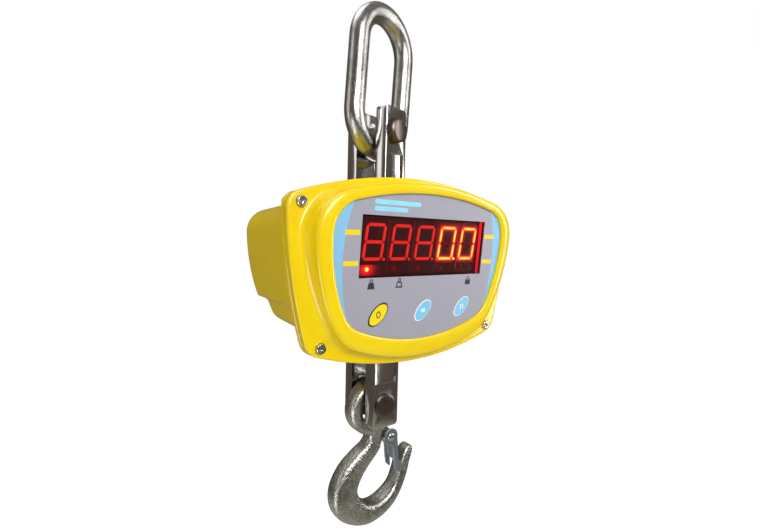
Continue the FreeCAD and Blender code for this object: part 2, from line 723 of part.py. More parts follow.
def main_board():
    """Board with its processor, converter, coil and plug housings."""
    half_u = MAIN_BOARD[0] / 2
    half_v = MAIN_BOARD[1] / 2
    front = main_board_front()
    back = front + BOARD_THICK
    shape = block(-half_u, half_u, front, back, MAIN_BOARD_V - half_v, MAIN_BOARD_V + half_v)
    for u, v in main_board_spots():
        shape = shape.cut(rod_y(SMALL_SCREW / 2 + 0.1, u, v, front, back))
    chips = ((-22, 8, 14, 14, 2.0), (12, 8, 18, 8, 2.5), (12, -10, 10, 6, 2.0), (-26, -14, 8, 8, 4.5))
    for u, v, width, height, thick in chips:
        shape = shape.fuse(block(u - width / 2, u + width / 2, back, back + thick,
                                 MAIN_BOARD_V + v - height / 2, MAIN_BOARD_V + v + height / 2))
    for u in (36.0, -6.0):
        shape = shape.fuse(block(u - 5, u + 5, back, back + 6.0, MAIN_BOARD_V - 26, MAIN_BOARD_V - 19))
    return on_face(shape.removeSplitter())


def main_board_screws():
    screws = []
    back = main_board_front() + BOARD_THICK
    for u, v in main_board_spots():
        shank = rod_y(SMALL_SCREW / 2 - 0.02, u, v, back - 7.0, back)
        head = rod_y(SMALL_HEAD / 2, u, v, back, back + SMALL_HEAD_HEIGHT)
        screws.append(on_face(shank.fuse(head).removeSplitter()))
    return group(screws)


def spacer_screws():
    """Short screws from the front that hold the spacers to the display board."""
    screws = []
    for u, v in main_board_spots():
        shank = rod_y(SMALL_SCREW / 2 - 0.02, u, v, board_front(), board_front() + 6.0)
        head = rod_y(SMALL_HEAD / 2, u, v, board_front() - 1.2, board_front())
        screws.append(on_face(shank.fuse(head).removeSplitter()))
    return group(screws)


def cover_gasket():
    outer = FLANGE.inset(GASKET_SETBACK).plate(COVER_BACK_Y, SHELL_FRONT_Y)
    shape = outer.cut(SHELL.inset(WALL).plate(COVER_BACK_Y, SHELL_FRONT_Y))
    for x, z in screw_spots():
        shape = shape.cut(rod_y(COVER_SCREW / 2 + 0.25, x, z, COVER_BACK_Y, SHELL_FRONT_Y))
    return shape


def cover_screws():
    """Socket head screws through the cover's corners."""
    seat = COVER_FRONT_Y + COVER_SCREW_SUNK
    screws = []
    for x, z in screw_spots():
        head = rod_y(COVER_SCREW_HEAD / 2, x, z, seat - COVER_SCREW_HEAD_HEIGHT, seat)
        rim = min(head.Faces, key=lambda face: face.CenterOfMass.y)
        head = head.makeChamfer(0.5, rim.Edges)
        shank = rod_y(COVER_SCREW / 2 - 0.02, x, z, seat, seat + COVER_SCREW_LENGTH)
        screw = head.fuse(shank).removeSplitter()
        socket = pocket_hexagon(COVER_SCREW_HEX, x, z, seat - COVER_SCREW_HEAD_HEIGHT,
                                seat - COVER_SCREW_HEAD_HEIGHT + 2.5)
        screws.append(screw.cut(socket))
    return group(screws)


def cover_inserts():
    """Brass threaded inserts in the rear housing's corner bosses."""
    inserts = []
    for x, z in screw_spots():
        insert = rod_y(INSERT_DIAMETER / 2, x, z, SHELL_FRONT_Y + 0.5, SHELL_FRONT_Y + 9.5)
        inserts.append(insert.cut(rod_y(COVER_SCREW / 2, x, z, SHELL_FRONT_Y, SHELL_FRONT_Y + 10)))
    return group(inserts)


# ---- rear housing ---------------------------------------------------------------------
def shell_body(outline, shrink, back_y, front_y):
    """Drafted body with a rounded back; shrink moves every wall inwards."""
    rounding = SHELL_BACK_ROUND - shrink
    cap_y = back_y - rounding
    front = outline.inset(shrink)
    rear = outline.inset(shrink + SHELL_DRAFT)
    body = Part.makeLoft([front.wire(front_y), rear.wire(cap_y)], True, True)
    rings = []
    for angle in (0, 20, 40, 60, 80, 90):
        turn = math.radians(angle)
        ring = rear.inset(rounding * (1 - math.cos(turn)))
        rings.append(ring.wire(cap_y + rounding * math.sin(turn)))
    return body.fuse(Part.makeLoft(rings, True, True))


def stepped_body(shrink, front_y):
    """Full body above the step, a narrower and shallower one below it."""
    back = SHELL_BACK_Y - shrink
    big = 4 * FLANGE.half_width
    upper = shell_body(SHELL, shrink, back, front_y)
    upper = upper.common(block(-big, big, -big, big, SHELL_STEP_Z + shrink, big))
    lower = shell_body(SHELL.narrowed(SHELL_STEP_IN), shrink, back - SHELL_STEP_BACK, front_y)
    return upper.fuse(lower)


def corner_boss(x, z):
    """Boss behind the flange for a cover screw's insert."""
    return rod_y(BOSS_DIAMETER / 2, x, z, SHELL_FRONT_Y, SHELL_FRONT_Y + BOSS_LENGTH)


def rear_housing():
    """Deep shell with a flange, bosses for its screws and holes for the column and socket."""
    flange = FLANGE.plate(SHELL_FRONT_Y, SHELL_FRONT_Y + 4.5)
    shape = flange.fuse(stepped_body(0.0, SHELL_FRONT_Y + 1.0))
    for x, z in screw_spots():
        shape = shape.fuse(corner_boss(x, z))
    shape = shape.cut(stepped_body(WALL, SHELL_FRONT_Y))
    bosses = []
    for x, z in strap_boss_spots():
        bosses.append(rod_y(5.0, x, z, strap_back_y(), SHELL_BACK_Y - 1.5))
    for x, z in cradle_boss_spots():
        bosses.append(rod_y(4.0, x, z, cradle_ear_y(), SHELL_BACK_Y - 1.5))
    for x, z in screw_spots():
        bosses.append(corner_boss(x, z))
    shape = shape.multiFuse(bosses).removeSplitter()
    for x, z in screw_spots():
        shape = shape.cut(rod_y(INSERT_DIAMETER / 2, x, z, SHELL_FRONT_Y - 1, SHELL_FRONT_Y + 9.5))
        shape = shape.cut(rod_y(COVER_SCREW / 2, x, z, SHELL_FRONT_Y - 1,
                                SHELL_FRONT_Y + BOSS_LENGTH - 2.0))
    for x, z in strap_boss_spots():
        shape = shape.cut(rod_y(STRAP_SCREW / 2, x, z, strap_back_y() - 1, strap_back_y() + 12))
    for x, z in cradle_boss_spots():
        shape = shape.cut(rod_y(SMALL_SCREW / 2, x, z, cradle_ear_y() - 1, cradle_ear_y() + 7))
    column = STEM_DIAMETER / 2 + SEAL_GAP + SEAL_LIP / 2
    shape = shape.cut(rod_z(column, CELL_TOP_Z, FLANGE.top))
    shape = shape.cut(rod_z(column, FLANGE.bottom, CELL_BOTTOM_Z))
    shape = shape.cut(rod_y(SOCKET_BODY / 2 + FIT_GAP, SOCKET_X, SOCKET_Z, SHELL_BACK_Y - 8,
                            SHELL_BACK_Y + 1))
    return shape


def strap_back_y():
    return CELL_DEPTH / 2 + STRAP_THICK


def strap_boss_spots():
    return [(sign * (reach - STRAP_END), z) for z, reach in STRAPS for sign in (-1, 1)]


def mounting_straps():
    """Two flat straps that hang the housing on the load cell's upper end."""
    straps = []
    for z, reach in STRAPS:
        strap = block(-reach, reach, CELL_DEPTH / 2, strap_back_y(),
                      z - STRAP_HEIGHT / 2, z + STRAP_HEIGHT / 2)
        for x in strap_screw_offsets() + (STRAP_END - reach, reach - STRAP_END):
            strap = strap.cut(rod_y(STRAP_SCREW / 2 + 0.25, x, z, 0, SHELL_BACK_Y))
        straps.append(strap)
    return group(straps)


def strap_screw(x, z, head_y, direction, length):
    """Pan-head screw along Y; direction is +1 when its shank points towards +Y."""
    head_end = head_y - direction * STRAP_HEAD_HEIGHT
    tip = head_y + direction * length
    head = rod_y(STRAP_HEAD / 2, x, z, min(head_y, head_end), max(head_y, head_end))
    shank = rod_y(STRAP_SCREW / 2 - 0.02, x, z, min(head_y, tip), max(head_y, tip))
    return head.fuse(shank).removeSplitter()


def cell_screws():
    """Screws from behind, through the straps into the load cell."""
    length = STRAP_THICK + 8.0
    return group([strap_screw(x, z, strap_back_y(), -1, length)
                  for z, _ in STRAPS for x in strap_screw_offsets()])


def housing_screws():
    """Screws from the front, through the straps into the housing's bosses."""
    length = STRAP_THICK + 10.0
    return group([strap_screw(x, z, CELL_DEPTH / 2, 1, length) for x, z in strap_boss_spots()])


def battery_pack():
    """Shrink-wrapped pack of upright cells, its ends rounded like the cells."""
    width, depth, height = BATTERY
    radius = depth / 2
    reach = width / 2 - radius
    z0 = BATTERY_Z - height / 2
    shape = block(-reach, reach, BATTERY_Y - radius, BATTERY_Y + radius, z0, z0 + height)
    ends = [rod_z(radius, z0, z0 + height, x, BATTERY_Y) for x in (-reach, reach)]
    return shape.multiFuse(ends).removeSplitter()


def cradle_ear_y():
    return BATTERY_Y + BATTERY[1] / 2


def cradle_boss_spots():
    reach = BATTERY[0] / 2 + 9.0
    z = BATTERY_Z - BATTERY[2] / 2 + 4.0
    return [(-reach, z), (reach, z)]


def battery_cradle():
    """Bent sheet band that passes in front of the pack, with a shelf below it and two ears."""
    width, depth, height = BATTERY
    half_w = width / 2 + CRADLE_THICK + 0.2
    front = BATTERY_Y - depth / 2 - CRADLE_THICK - 0.1
    z1 = BATTERY_Z - height / 2
    z0 = z1 - CRADLE_THICK
    band_top = z1 + 14.0
    front_wall = block(-half_w, half_w, front, front + CRADLE_THICK, z0, band_top)
    shelf = block(-half_w, half_w, front, cradle_ear_y(), z0, z1)
    pieces = [shelf]
    for sign in (-1, 1):
        inner = sign * (half_w - CRADLE_THICK)
        outer = sign * half_w
        pieces.append(block(min(inner, outer), max(inner, outer), front, cradle_ear_y(),
                            z0, band_top))
        ear_end = sign * (half_w + 12.0)
        pieces.append(block(min(inner, ear_end), max(inner, ear_end),
                            cradle_ear_y() - CRADLE_THICK, cradle_ear_y(), z1 - 1.5, band_top))
    shape = front_wall.multiFuse(pieces).removeSplitter()
    for x, z in cradle_boss_spots():
        shape = shape.cut(rod_y(SMALL_SCREW / 2 + 0.2, x, z, 0, SHELL_BACK_Y))
    return shape


def cradle_screws():
    screws = []
    front = cradle_ear_y() - CRADLE_THICK
    for x, z in cradle_boss_spots():
        head = rod_y(SMALL_HEAD / 2, x, z, front - SMALL_HEAD_HEIGHT, front)
        shank = rod_y(SMALL_SCREW / 2 - 0.02, x, z, front, front + 7.0)
        screws.append(head.fuse(shank).removeSplitter())
    return group(screws)


def stem_seal(inner_z, outer_z, sign):
    """Rubber grommet in the housing wall round a stem; sign is +1 at the top."""
    hole = STEM_DIAMETER / 2 + SEAL_GAP + SEAL_LIP / 2
    inner_z -= sign * SEAL_SLACK
    outer_z += sign * SEAL_SLACK
    neck = rod_z(hole - 0.05, min(inner_z, outer_z), max(inner_z, outer_z))
    lips = []
    for z, way in ((outer_z, sign), (inner_z, -sign)):
        end = z + way * SEAL_THICK
        lips.append(rod_z(hole + SEAL_LIP / 2, min(z, end), max(z, end)))
    shape = neck.multiFuse(lips).removeSplitter()
    return shape.cut(rod_z(STEM_DIAMETER / 2 + SEAL_GAP, -200, 200))


def charge_socket():
    """Round socket for the charger's plug, let into the rear wall."""
    shape = rod_y(SOCKET_BODY / 2, SOCKET_X, SOCKET_Z, SHELL_BACK_Y - 14, SHELL_BACK_Y)
    rim = rod_y(SOCKET_FLANGE / 2, SOCKET_X, SOCKET_Z, SHELL_BACK_Y, SHELL_BACK_Y + 1.8)
    shape = shape.fuse(rim).removeSplitter()
    bore = rod_y(SOCKET_BORE / 2, SOCKET_X, SOCKET_Z, SHELL_BACK_Y - 9, SHELL_BACK_Y + 2)
    return shape.cut(bore.cut(rod_y(1.05, SOCKET_X, SOCKET_Z, SHELL_BACK_Y - 9, SHELL_BACK_Y - 1)))


def charge_socket_nut():
    y0 = SHELL_BACK_Y - WALL - 3.0
    nut = pocket_hexagon(16.0, SOCKET_X, SOCKET_Z, y0, SHELL_BACK_Y - WALL)
    return nut.cut(rod_y(SOCKET_BODY / 2, SOCKET_X, SOCKET_Z, y0, SHELL_BACK_Y))


def rating_plate():
    width, height, thick = PLATE_LABEL
    return block(-width / 2, width / 2, SHELL_BACK_Y, SHELL_BACK_Y + thick, 0.0, height)


def lead(points, bend, diameter):
    """Round lead along straight runs joined by arcs of one bend radius."""
    edges = []
    start = points[0]
    for before, corner, after in zip(points, points[1:], points[2:]):
        back = (before - corner).normalize()
        ahead = (after - corner).normalize()
        half = back.getAngle(ahead) / 2
        cut = bend / math.tan(half)
        first = corner + back * cut
        last = corner + ahead * cut
        inward = (back + ahead).normalize()
        middle = corner + inward * (bend / math.sin(half) - bend)
        edges.append(Part.LineSegment(start, first).toShape())
        edges.append(Part.Arc(first, middle, last).toShape())
        start = last
    edges.append(Part.LineSegment(start, points[-1]).toShape())
    path = Part.Wire(edges)
    circle = Part.Circle(points[0], points[1] - points[0], diameter / 2)
    length = sum(edge.Length for edge in edges)
    print(f"lead {length:.1f} mm long, bend {bend:.1f} mm")
    return path.makePipe(Part.Face(Part.Wire(circle.toShape())))


def board_plug_end(u):
    """Point on the back of a plug housing on the main board, in the column's frame."""
    tilt = math.radians(FACE_TILT)
    depth = main_board_front() + BOARD_THICK + 6.0
    v = MAIN_BOARD_V - 22.5
    return Vector(u, FACE_Y + depth * math.cos(tilt) - v * math.sin(tilt),
                  depth * math.sin(tilt) + v * math.cos(tilt))


def cell_lead():
    """Lead from the load cell's side to the main board."""
    end = board_plug_end(36.0)
    start = Vector(CELL_WIDTH / 2, -8.0, -68.0)
    points = [start, start + Vector(14, 0, 0), Vector(end.x, end.y + 12, end.z), end]
    return lead(points, 4.0, 3.0)


def battery_lead():
    """Lead from the battery's end, under the straps and past the load cell, to the board."""
    end = board_plug_end(-6.0)
    z = BATTERY_Z + BATTERY[2] / 2
    start = Vector(-40.0, BATTERY_Y - 4.0, z)
    points = [start, start + Vector(0, 0, 9), Vector(-44.0, 4.0, z + 6.0),
              Vector(-40.0, end.y + 12.0, end.z + 2.0), Vector(end.x, end.y + 9.0, end.z), end]
    return lead(points, 3.0, 3.0)


# ---- hook and latch ---------------------------------------------------------------------
def xz_wire(steps, y):
    """Closed wire from (end,) lines and (middle, end) arcs that starts at the last end."""
    edges = []
    here = steps[-1][-1]
    for step in steps:
        end = step[-1]
        if len(step) == 1:
            line = Part.LineSegment(Vector(here[0], y, here[1]), Vector(end[0], y, end[1]))
            edges.append(line.toShape())
        else:
            edges.append(arc(here, step[0], end, y))
        here = end
    return Part.Wire(edges)


def bowl_point(angle):
    """Point of the bowl's inner circle; 0 degrees is +X, anticlockwise seen from the front."""
    turn = math.radians(angle)
    return (BOWL_CENTRE[0] + BOWL_RADIUS * math.cos(turn),
            BOWL_CENTRE[1] + BOWL_RADIUS * math.sin(turn))


def hook():
    """Eye hook, opening towards +X; the ear below the eye carries the latch."""
    outline = [((-4.5, -44.0),), ((-9.5, -50.0), (-20.5, -53.4)), ((-39.5, -70.5), (-47.4, -91.0)),
               ((-34.8, -120.5), (-5.0, -131.5)), ((26.5, -119.0), (46.5, -91.0)),
               ((50.5, -77.5), (56.5, -66.5)), ((55.0, -59.6), (47.8, -58.4)),
               ((41.0, -64.0), (37.5, -74.0)), ((35.4, -84.5),), (bowl_point(-12),),
               (bowl_point(-100), bowl_point(172)),
               ((-17.0, -78.0), (-11.5, -72.0)), ((8.0, -53.0),), ((15.0, -48.5),),
               ((15.0, -32.0),), ((-6.0, -30.0),)]
    half = HOOK_THICK / 2
    body = Part.Face(xz_wire(outline, -half)).extrude(Vector(0, HOOK_THICK, 0))
    eye = rod_y(EYE_OUTER, 0, -EYE_DROP, -EYE_THICK / 2, EYE_THICK / 2)
    eye = eye.makeFillet(EYE_ROUND, [edge for edge in eye.Edges if abs(edge.CenterOfMass.y) > 1])
    ear = rod_y(LATCH_BOSS, LATCH_PIVOT[0], LATCH_PIVOT[1], -EAR_THICK / 2, EAR_THICK / 2)
    neck = block(10.0, LATCH_PIVOT[0], -EAR_THICK / 2, EAR_THICK / 2,
                 LATCH_PIVOT[1] - LATCH_BOSS, LATCH_PIVOT[1] + LATCH_BOSS)
    shape = body.multiFuse([eye, ear, neck])
    swing = rod_y(LATCH_RELIEF, LATCH_PIVOT[0], LATCH_PIVOT[1], -EYE_THICK, EYE_THICK)
    keep = rod_y(LATCH_RELIEF + 1, LATCH_PIVOT[0], LATCH_PIVOT[1], -EAR_THICK / 2, EAR_THICK / 2)
    shape = shape.cut(swing.cut(keep))
    hole = EYE_DROP + PIN_RADIUS + LOOSE_GAP
    shape = shape.cut(rod_y(hole, 0, -EYE_DROP, -EYE_THICK, EYE_THICK))
    rivet = rod_y(LATCH_RIVET / 2 + PIN_FIT, LATCH_PIVOT[0], LATCH_PIVOT[1], -EYE_THICK, EYE_THICK)
    return at_bottom_pin(shape.cut(rivet).removeSplitter())


def latch():
    """Pressed channel: two cheeks round the hook's ear and a web facing the hook's tip."""
    px, pz = LATCH_PIVOT
    tip_x, tip_z = LATCH_TIP
    outline = [((px + LATCH_HEAD * 0.98, pz - 2.0),), ((tip_x + 3.0, tip_z + 2.5),),
               ((tip_x + 2.0, tip_z - 0.8), (tip_x, tip_z)), ((px + 1.5, pz - 26.0),),
               ((px - 5.5, pz - 9.5),), ((px - LATCH_HEAD, pz),),
               ((px, pz + LATCH_HEAD), (px + LATCH_HEAD, pz))]
    half = LATCH_INNER / 2 + LATCH_SHEET
    channel = Part.Face(xz_wire(outline, -half)).extrude(Vector(0, 2 * half, 0))
    hollow = channel.copy()
    hollow = hollow.common(block(-100, 100, -LATCH_INNER / 2, LATCH_INNER / 2, -200, 0))
    web_x = px + LATCH_HEAD
    web = Part.Face(xz_wire([((web_x, pz - 12.0),), ((tip_x + 3.4, tip_z + 9.5),),
                             ((tip_x + 1.6, tip_z + 9.5),), ((web_x - 1.9, pz - 12.0),)],
                            -half)).extrude(Vector(0, 2 * half, 0))
    web = web.common(channel)
    shape = channel.cut(hollow).fuse(web).removeSplitter()
    rivet = rod_y(LATCH_RIVET / 2 + PIN_FIT, px, pz, -EYE_THICK, EYE_THICK)
    return at_bottom_pin(shape.cut(rivet))


def latch_rivet():
    """Rivet through the hook's ear; its heads hold the latch's cheeks."""
    half = LATCH_INNER / 2 + LATCH_SHEET + 0.3
    shank = rod_y(LATCH_RIVET / 2, LATCH_PIVOT[0], LATCH_PIVOT[1], -half - 1.5, half + 1.5)
    heads = [rod_y(LATCH_RIVET / 2 + 2.0, LATCH_PIVOT[0], LATCH_PIVOT[1], y, y + 1.5)
             for y in (-half - 1.5, half)]
    return at_bottom_pin(shank.multiFuse(heads).removeSplitter())


def latch_spring():
    """Torsion spring beside the ear: a short coil each side, as plain rings round the rivet."""
    rings = []
    radius = LATCH_RIVET / 2 + 0.4 + SPRING_WIRE / 2
    for side in (-1, 1):
        y = side * (EAR_THICK / 2 + LOOSE_GAP + SPRING_WIRE / 2)
        centre = Vector(LATCH_PIVOT[0], y, LATCH_PIVOT[1])
        rings.append(Part.makeTorus(radius, SPRING_WIRE / 2, centre, Y_AXIS))
    return at_bottom_pin(group(rings))


def build():
    os.makedirs("parts", exist_ok=True)
    save("lifting_link", lifting_link())
    save("top_fork", top_fork())
    save("top_pin", in_top_fork(fork_pin(PIN_HEAD_THICK)))
    save("top_pin_ring", in_top_fork(retaining_ring()))
    save("swivel_nut", swivel_nut())
    save("swivel_lock_pin", swivel_lock_pin())
    save("thrust_bearing", thrust_bearing())
    save("load_cell", load_cell())
    save("gauge_covers", gauge_covers())
    save("bottom_fork", bottom_fork())
    save("foot_lock_pin", foot_lock_pin())
    save("bottom_pin", at_bottom_pin(fork_pin(LOW_HEAD_THICK)))
    save("bottom_pin_ring", at_bottom_pin(retaining_ring()))
    save("front_cover", front_cover())
    save("cover_gasket", cover_gasket())
    save("cover_screws", cover_screws())
    save("cover_inserts", cover_inserts())
    save("rear_housing", rear_housing())
    save("label_overlay", label_overlay())
    save("display_window", display_window())
    save("display_board", display_board())
    for index in range(DIGIT_COUNT):
        save(f"digit_module_{index + 1}", digit_module(index))
    save("indicator_leds", indicator_leds())
    save("lamp_holder", lamp_holder())
    save("tact_switches", tact_switches())
    for name, offset in KEY_OFFSETS.items():
        save(name, button(offset))
    save("board_screws", board_screws())
    save("board_spacers", board_spacers())
    save("spacer_screws", spacer_screws())
    save("main_board", main_board())
    save("main_board_screws", main_board_screws())
    save("mounting_straps", mounting_straps())
    save("cell_screws", cell_screws())
    save("housing_screws", housing_screws())
    save("battery_pack", battery_pack())
    save("battery_cradle", battery_cradle())
    save("cradle_screws", cradle_screws())
    shell_top = SHELL.top - wall_at_column()
    save("top_seal", stem_seal(shell_top - WALL, shell_top, 1))
    shell_bottom = SHELL.bottom + wall_at_column()
    save("bottom_seal", stem_seal(shell_bottom + WALL, shell_bottom, -1))
    save("charge_socket", charge_socket())
    save("charge_socket_nut", charge_socket_nut())
    save("rating_plate", rating_plate())
    save("cell_lead", cell_lead())
    save("battery_lead", battery_lead())
    save("hook", hook())
    save("latch", latch())
    save("latch_rivet", latch_rivet())
    save("latch_spring", latch_spring())


build()
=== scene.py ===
# %% [markdown]
# A hanging crane scale: a forged link, polished forks, a glossy yellow housing with a lit
# display, and a load hook with a sprung latch.  The mechanical design is already settled, so
# this file loads it as a fixed frame and builds what the eye judges around it: smooth
# moulded shells, forged steel, printed film and glowing digits.

# %% Load the frame
import json
import math

import bpy
import numpy as np
from mathutils import Matrix, Vector

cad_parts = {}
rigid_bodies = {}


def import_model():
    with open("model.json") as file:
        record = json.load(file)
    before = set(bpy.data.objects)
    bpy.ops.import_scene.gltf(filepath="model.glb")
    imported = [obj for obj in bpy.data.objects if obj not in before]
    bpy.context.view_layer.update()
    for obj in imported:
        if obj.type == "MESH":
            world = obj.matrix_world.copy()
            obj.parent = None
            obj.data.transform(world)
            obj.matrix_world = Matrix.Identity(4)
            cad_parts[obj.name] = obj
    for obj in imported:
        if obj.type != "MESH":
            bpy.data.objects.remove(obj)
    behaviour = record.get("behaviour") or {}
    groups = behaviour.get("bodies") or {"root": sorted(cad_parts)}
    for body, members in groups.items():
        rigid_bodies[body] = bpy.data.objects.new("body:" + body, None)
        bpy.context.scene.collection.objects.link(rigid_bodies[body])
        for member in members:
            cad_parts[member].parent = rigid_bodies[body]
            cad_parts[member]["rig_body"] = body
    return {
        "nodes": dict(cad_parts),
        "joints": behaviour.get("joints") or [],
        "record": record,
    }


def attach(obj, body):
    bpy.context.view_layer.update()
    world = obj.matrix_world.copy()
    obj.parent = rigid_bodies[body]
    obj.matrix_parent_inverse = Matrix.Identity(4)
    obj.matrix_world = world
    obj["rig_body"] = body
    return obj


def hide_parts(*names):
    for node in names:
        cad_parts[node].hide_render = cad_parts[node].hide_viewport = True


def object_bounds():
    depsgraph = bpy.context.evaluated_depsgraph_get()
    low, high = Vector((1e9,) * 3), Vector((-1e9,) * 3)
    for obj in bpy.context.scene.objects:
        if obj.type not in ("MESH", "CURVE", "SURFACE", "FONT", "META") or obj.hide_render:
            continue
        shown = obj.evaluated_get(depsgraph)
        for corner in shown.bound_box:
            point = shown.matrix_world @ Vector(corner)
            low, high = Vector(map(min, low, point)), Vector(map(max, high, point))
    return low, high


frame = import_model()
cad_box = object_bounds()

# %% [markdown]
# Lengths below are millimetres about the load column: x = y = 0 is its axis, z = 0 the height
# of the window's centre, and the display looks towards -Y.  The swivel joint lies on that
# axis at a known height, so it gives the place of this origin in the frame.

# %% The column's origin in the frame
MM = 0.001
SWIVEL_Z = 36.0
joints = {joint["name"]: joint for joint in frame["joints"]}
HOME = np.array(joints["fork_swivel"]["pos_m"]) / MM - (0.0, 0.0, SWIVEL_Z)
TOP_PIN = np.array(joints["link_swing"]["pos_m"]) / MM - HOME
BOTTOM_PIN = np.array(joints["hook_swing"]["pos_m"]) / MM - HOME
LATCH_PIN = np.array(joints["latch_pivot"]["pos_m"]) / MM - HOME
print("origin", HOME.round(2), "pins at", TOP_PIN.round(1), BOTTOM_PIN.round(1))


# %% [markdown]
# Almost every new piece is a stack of rings: each ring is one closed outline, and walking from
# ring to ring draws the surface.  The ends are either capped or joined to each other.  The sign
# of the volume tells whether the faces point outwards, and if not they are all turned round.

# %% Rings into a closed surface
def skin(rings, closed=False):
    """Points and faces of a stack of rings, shaped (ring, point, 3).
    Point (i, j) joins (i, j+1) and (i+1, j); closed joins the last ring to the first."""
    rings = np.asarray(rings, float)
    rows, cols = rings.shape[:2]
    index = np.arange(rows * cols).reshape(rows, cols)
    lower = index if closed else index[:-1]
    upper = np.roll(index, -1, 0) if closed else index[1:]
    quads = np.stack([lower, np.roll(lower, -1, 1), np.roll(upper, -1, 1), upper], -1)
    faces = quads.reshape(-1, 4).tolist()
    if not closed:
        faces += [index[0, ::-1].tolist(), index[-1].tolist()]
    points = rings.reshape(-1, 3)
    if volume_of(points, quads.reshape(-1, 4), faces[-2:] if not closed else []) < 0:
        faces = [face[::-1] for face in faces]
    return points, faces


def volume_of(points, quads, caps):
    """Six times the enclosed volume: the sum of corner triple products."""
    a, b, c, d = (points[quads[:, k]] for k in range(4))
    total = np.einsum("ij,ij->", a, np.cross(b, c)) + np.einsum("ij,ij->", a, np.cross(c, d))
    for cap in caps:
        p = points[cap]
        total += np.einsum("ij,ij->", np.broadcast_to(p[0], p[1:-1].shape), np.cross(p[1:-1], p[2:]))
    return total


def together(parts):
    """Several (points, faces) as one."""
    points, faces, count = [], [], 0
    for part_points, part_faces in parts:
        points.append(part_points)
        faces += [[i + count for i in face] for face in part_faces]
        count += len(part_points)
    return np.concatenate(points), faces


# %% [markdown]
# A piece gets its mesh in metres in the row's frame, so its object stays at the origin.  It
# then names the body it rides on, its finish, and the plain CAD solid it stands for.

# %% A surface into a piece
def show(name, data):
    """Object for a mesh, a lamp or a camera, linked into the scene."""
    thing = bpy.data.objects.new(name, data)
    bpy.context.scene.collection.objects.link(thing)
    return thing


def crease(mesh, sharp):
    """Smooth shading except at edges sharper than sharp degrees."""
    mesh.shade_smooth()
    mesh.set_sharp_from_angle(angle=math.radians(sharp))


def draw(name, surface, sharp=35.0):
    """Mesh object from (points in mm, faces)."""
    points, faces = surface
    mesh = bpy.data.meshes.new(name)
    mesh.from_pydata(((points + HOME) * MM).tolist(), [], faces)
    crease(mesh, sharp)
    return show(name, mesh)


def fit(piece, body, finish, stands_for=()):
    """Ride piece on a body, give it a finish, and hide the solids it stands for."""
    piece.data.materials.clear()
    piece.data.materials.append(finish)
    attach(piece, body)
    if stands_for:
        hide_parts(*stands_for)
    print(f"{piece.name}: {len(piece.data.polygons)} faces on {body}")
    return piece


def settle(piece):
    """Make a piece's modifiers part of its mesh."""
    bpy.context.view_layer.update()
    evaluated = piece.evaluated_get(bpy.context.evaluated_depsgraph_get())
    mesh = bpy.data.meshes.new_from_object(evaluated)
    piece.modifiers.clear()
    piece.data = mesh
    return piece


def carve(piece, tool, operation="DIFFERENCE"):
    """Cut tool out of piece, or join it on, and throw the tool away."""
    modifier = piece.modifiers.new("carve", "BOOLEAN")
    modifier.operation = operation
    modifier.solver = "EXACT"
    modifier.object = tool
    settle(piece)
    bpy.data.objects.remove(tool)
    return piece


# %% [markdown]
# Turned parts are a radius carried along an axis.  The same function makes the tools that
# cut round holes.

# %% Turned shapes
def turned(stations, radii, centre, axis, steps=64, wave=0.0, teeth=0):
    """Surface of revolution: a circle of radii[i] at stations[i] along axis from centre.
    wave and teeth add a ripple r = r + wave cos(teeth a), as on a knurled rim."""
    axis = np.array(axis, float) / np.linalg.norm(axis)
    side = np.cross(axis, (0.0, 0.0, 1.0) if abs(axis[2]) < 0.9 else (1.0, 0.0, 0.0))
    side /= np.linalg.norm(side)
    other = np.cross(axis, side)
    angle = np.linspace(0, 2 * np.pi, steps, endpoint=False)
    round_dir = np.outer(np.cos(angle), side) + np.outer(np.sin(angle), other)
    radius = np.array(radii)[:, None] + wave * np.cos(teeth * angle)[None, :]
    rings = (np.array(centre) + np.array(stations)[:, None, None] * axis
             + radius[:, :, None] * round_dir[None])
    return skin(rings)


def rod(centre, axis, start, end, radius, steps=48):
    """Cylinder about axis, from start to end."""
    return turned([start, end], [radius, radius], centre, axis, steps)


def drill(piece, *sizes, operation="DIFFERENCE"):
    """Cut a rod of those sizes out of piece, or join it on."""
    carve(piece, draw("tool", rod(*sizes)), operation)


# %% [markdown]
# The housing's outlines are rounded shields.  Walking round one, the outward direction turns
# steadily through a full circle, and each stretch is an arc about its own centre.  A corner arc
# touches its two larger neighbours from inside, so its centre is where two smaller circles
# cross.  Every shield is sampled alike, so rings of different shields match point by point.

# %% Shield outlines
STRETCHES = (30, 18, 34, 18, 26)   # points on half the top, corner, side, corner, half the base


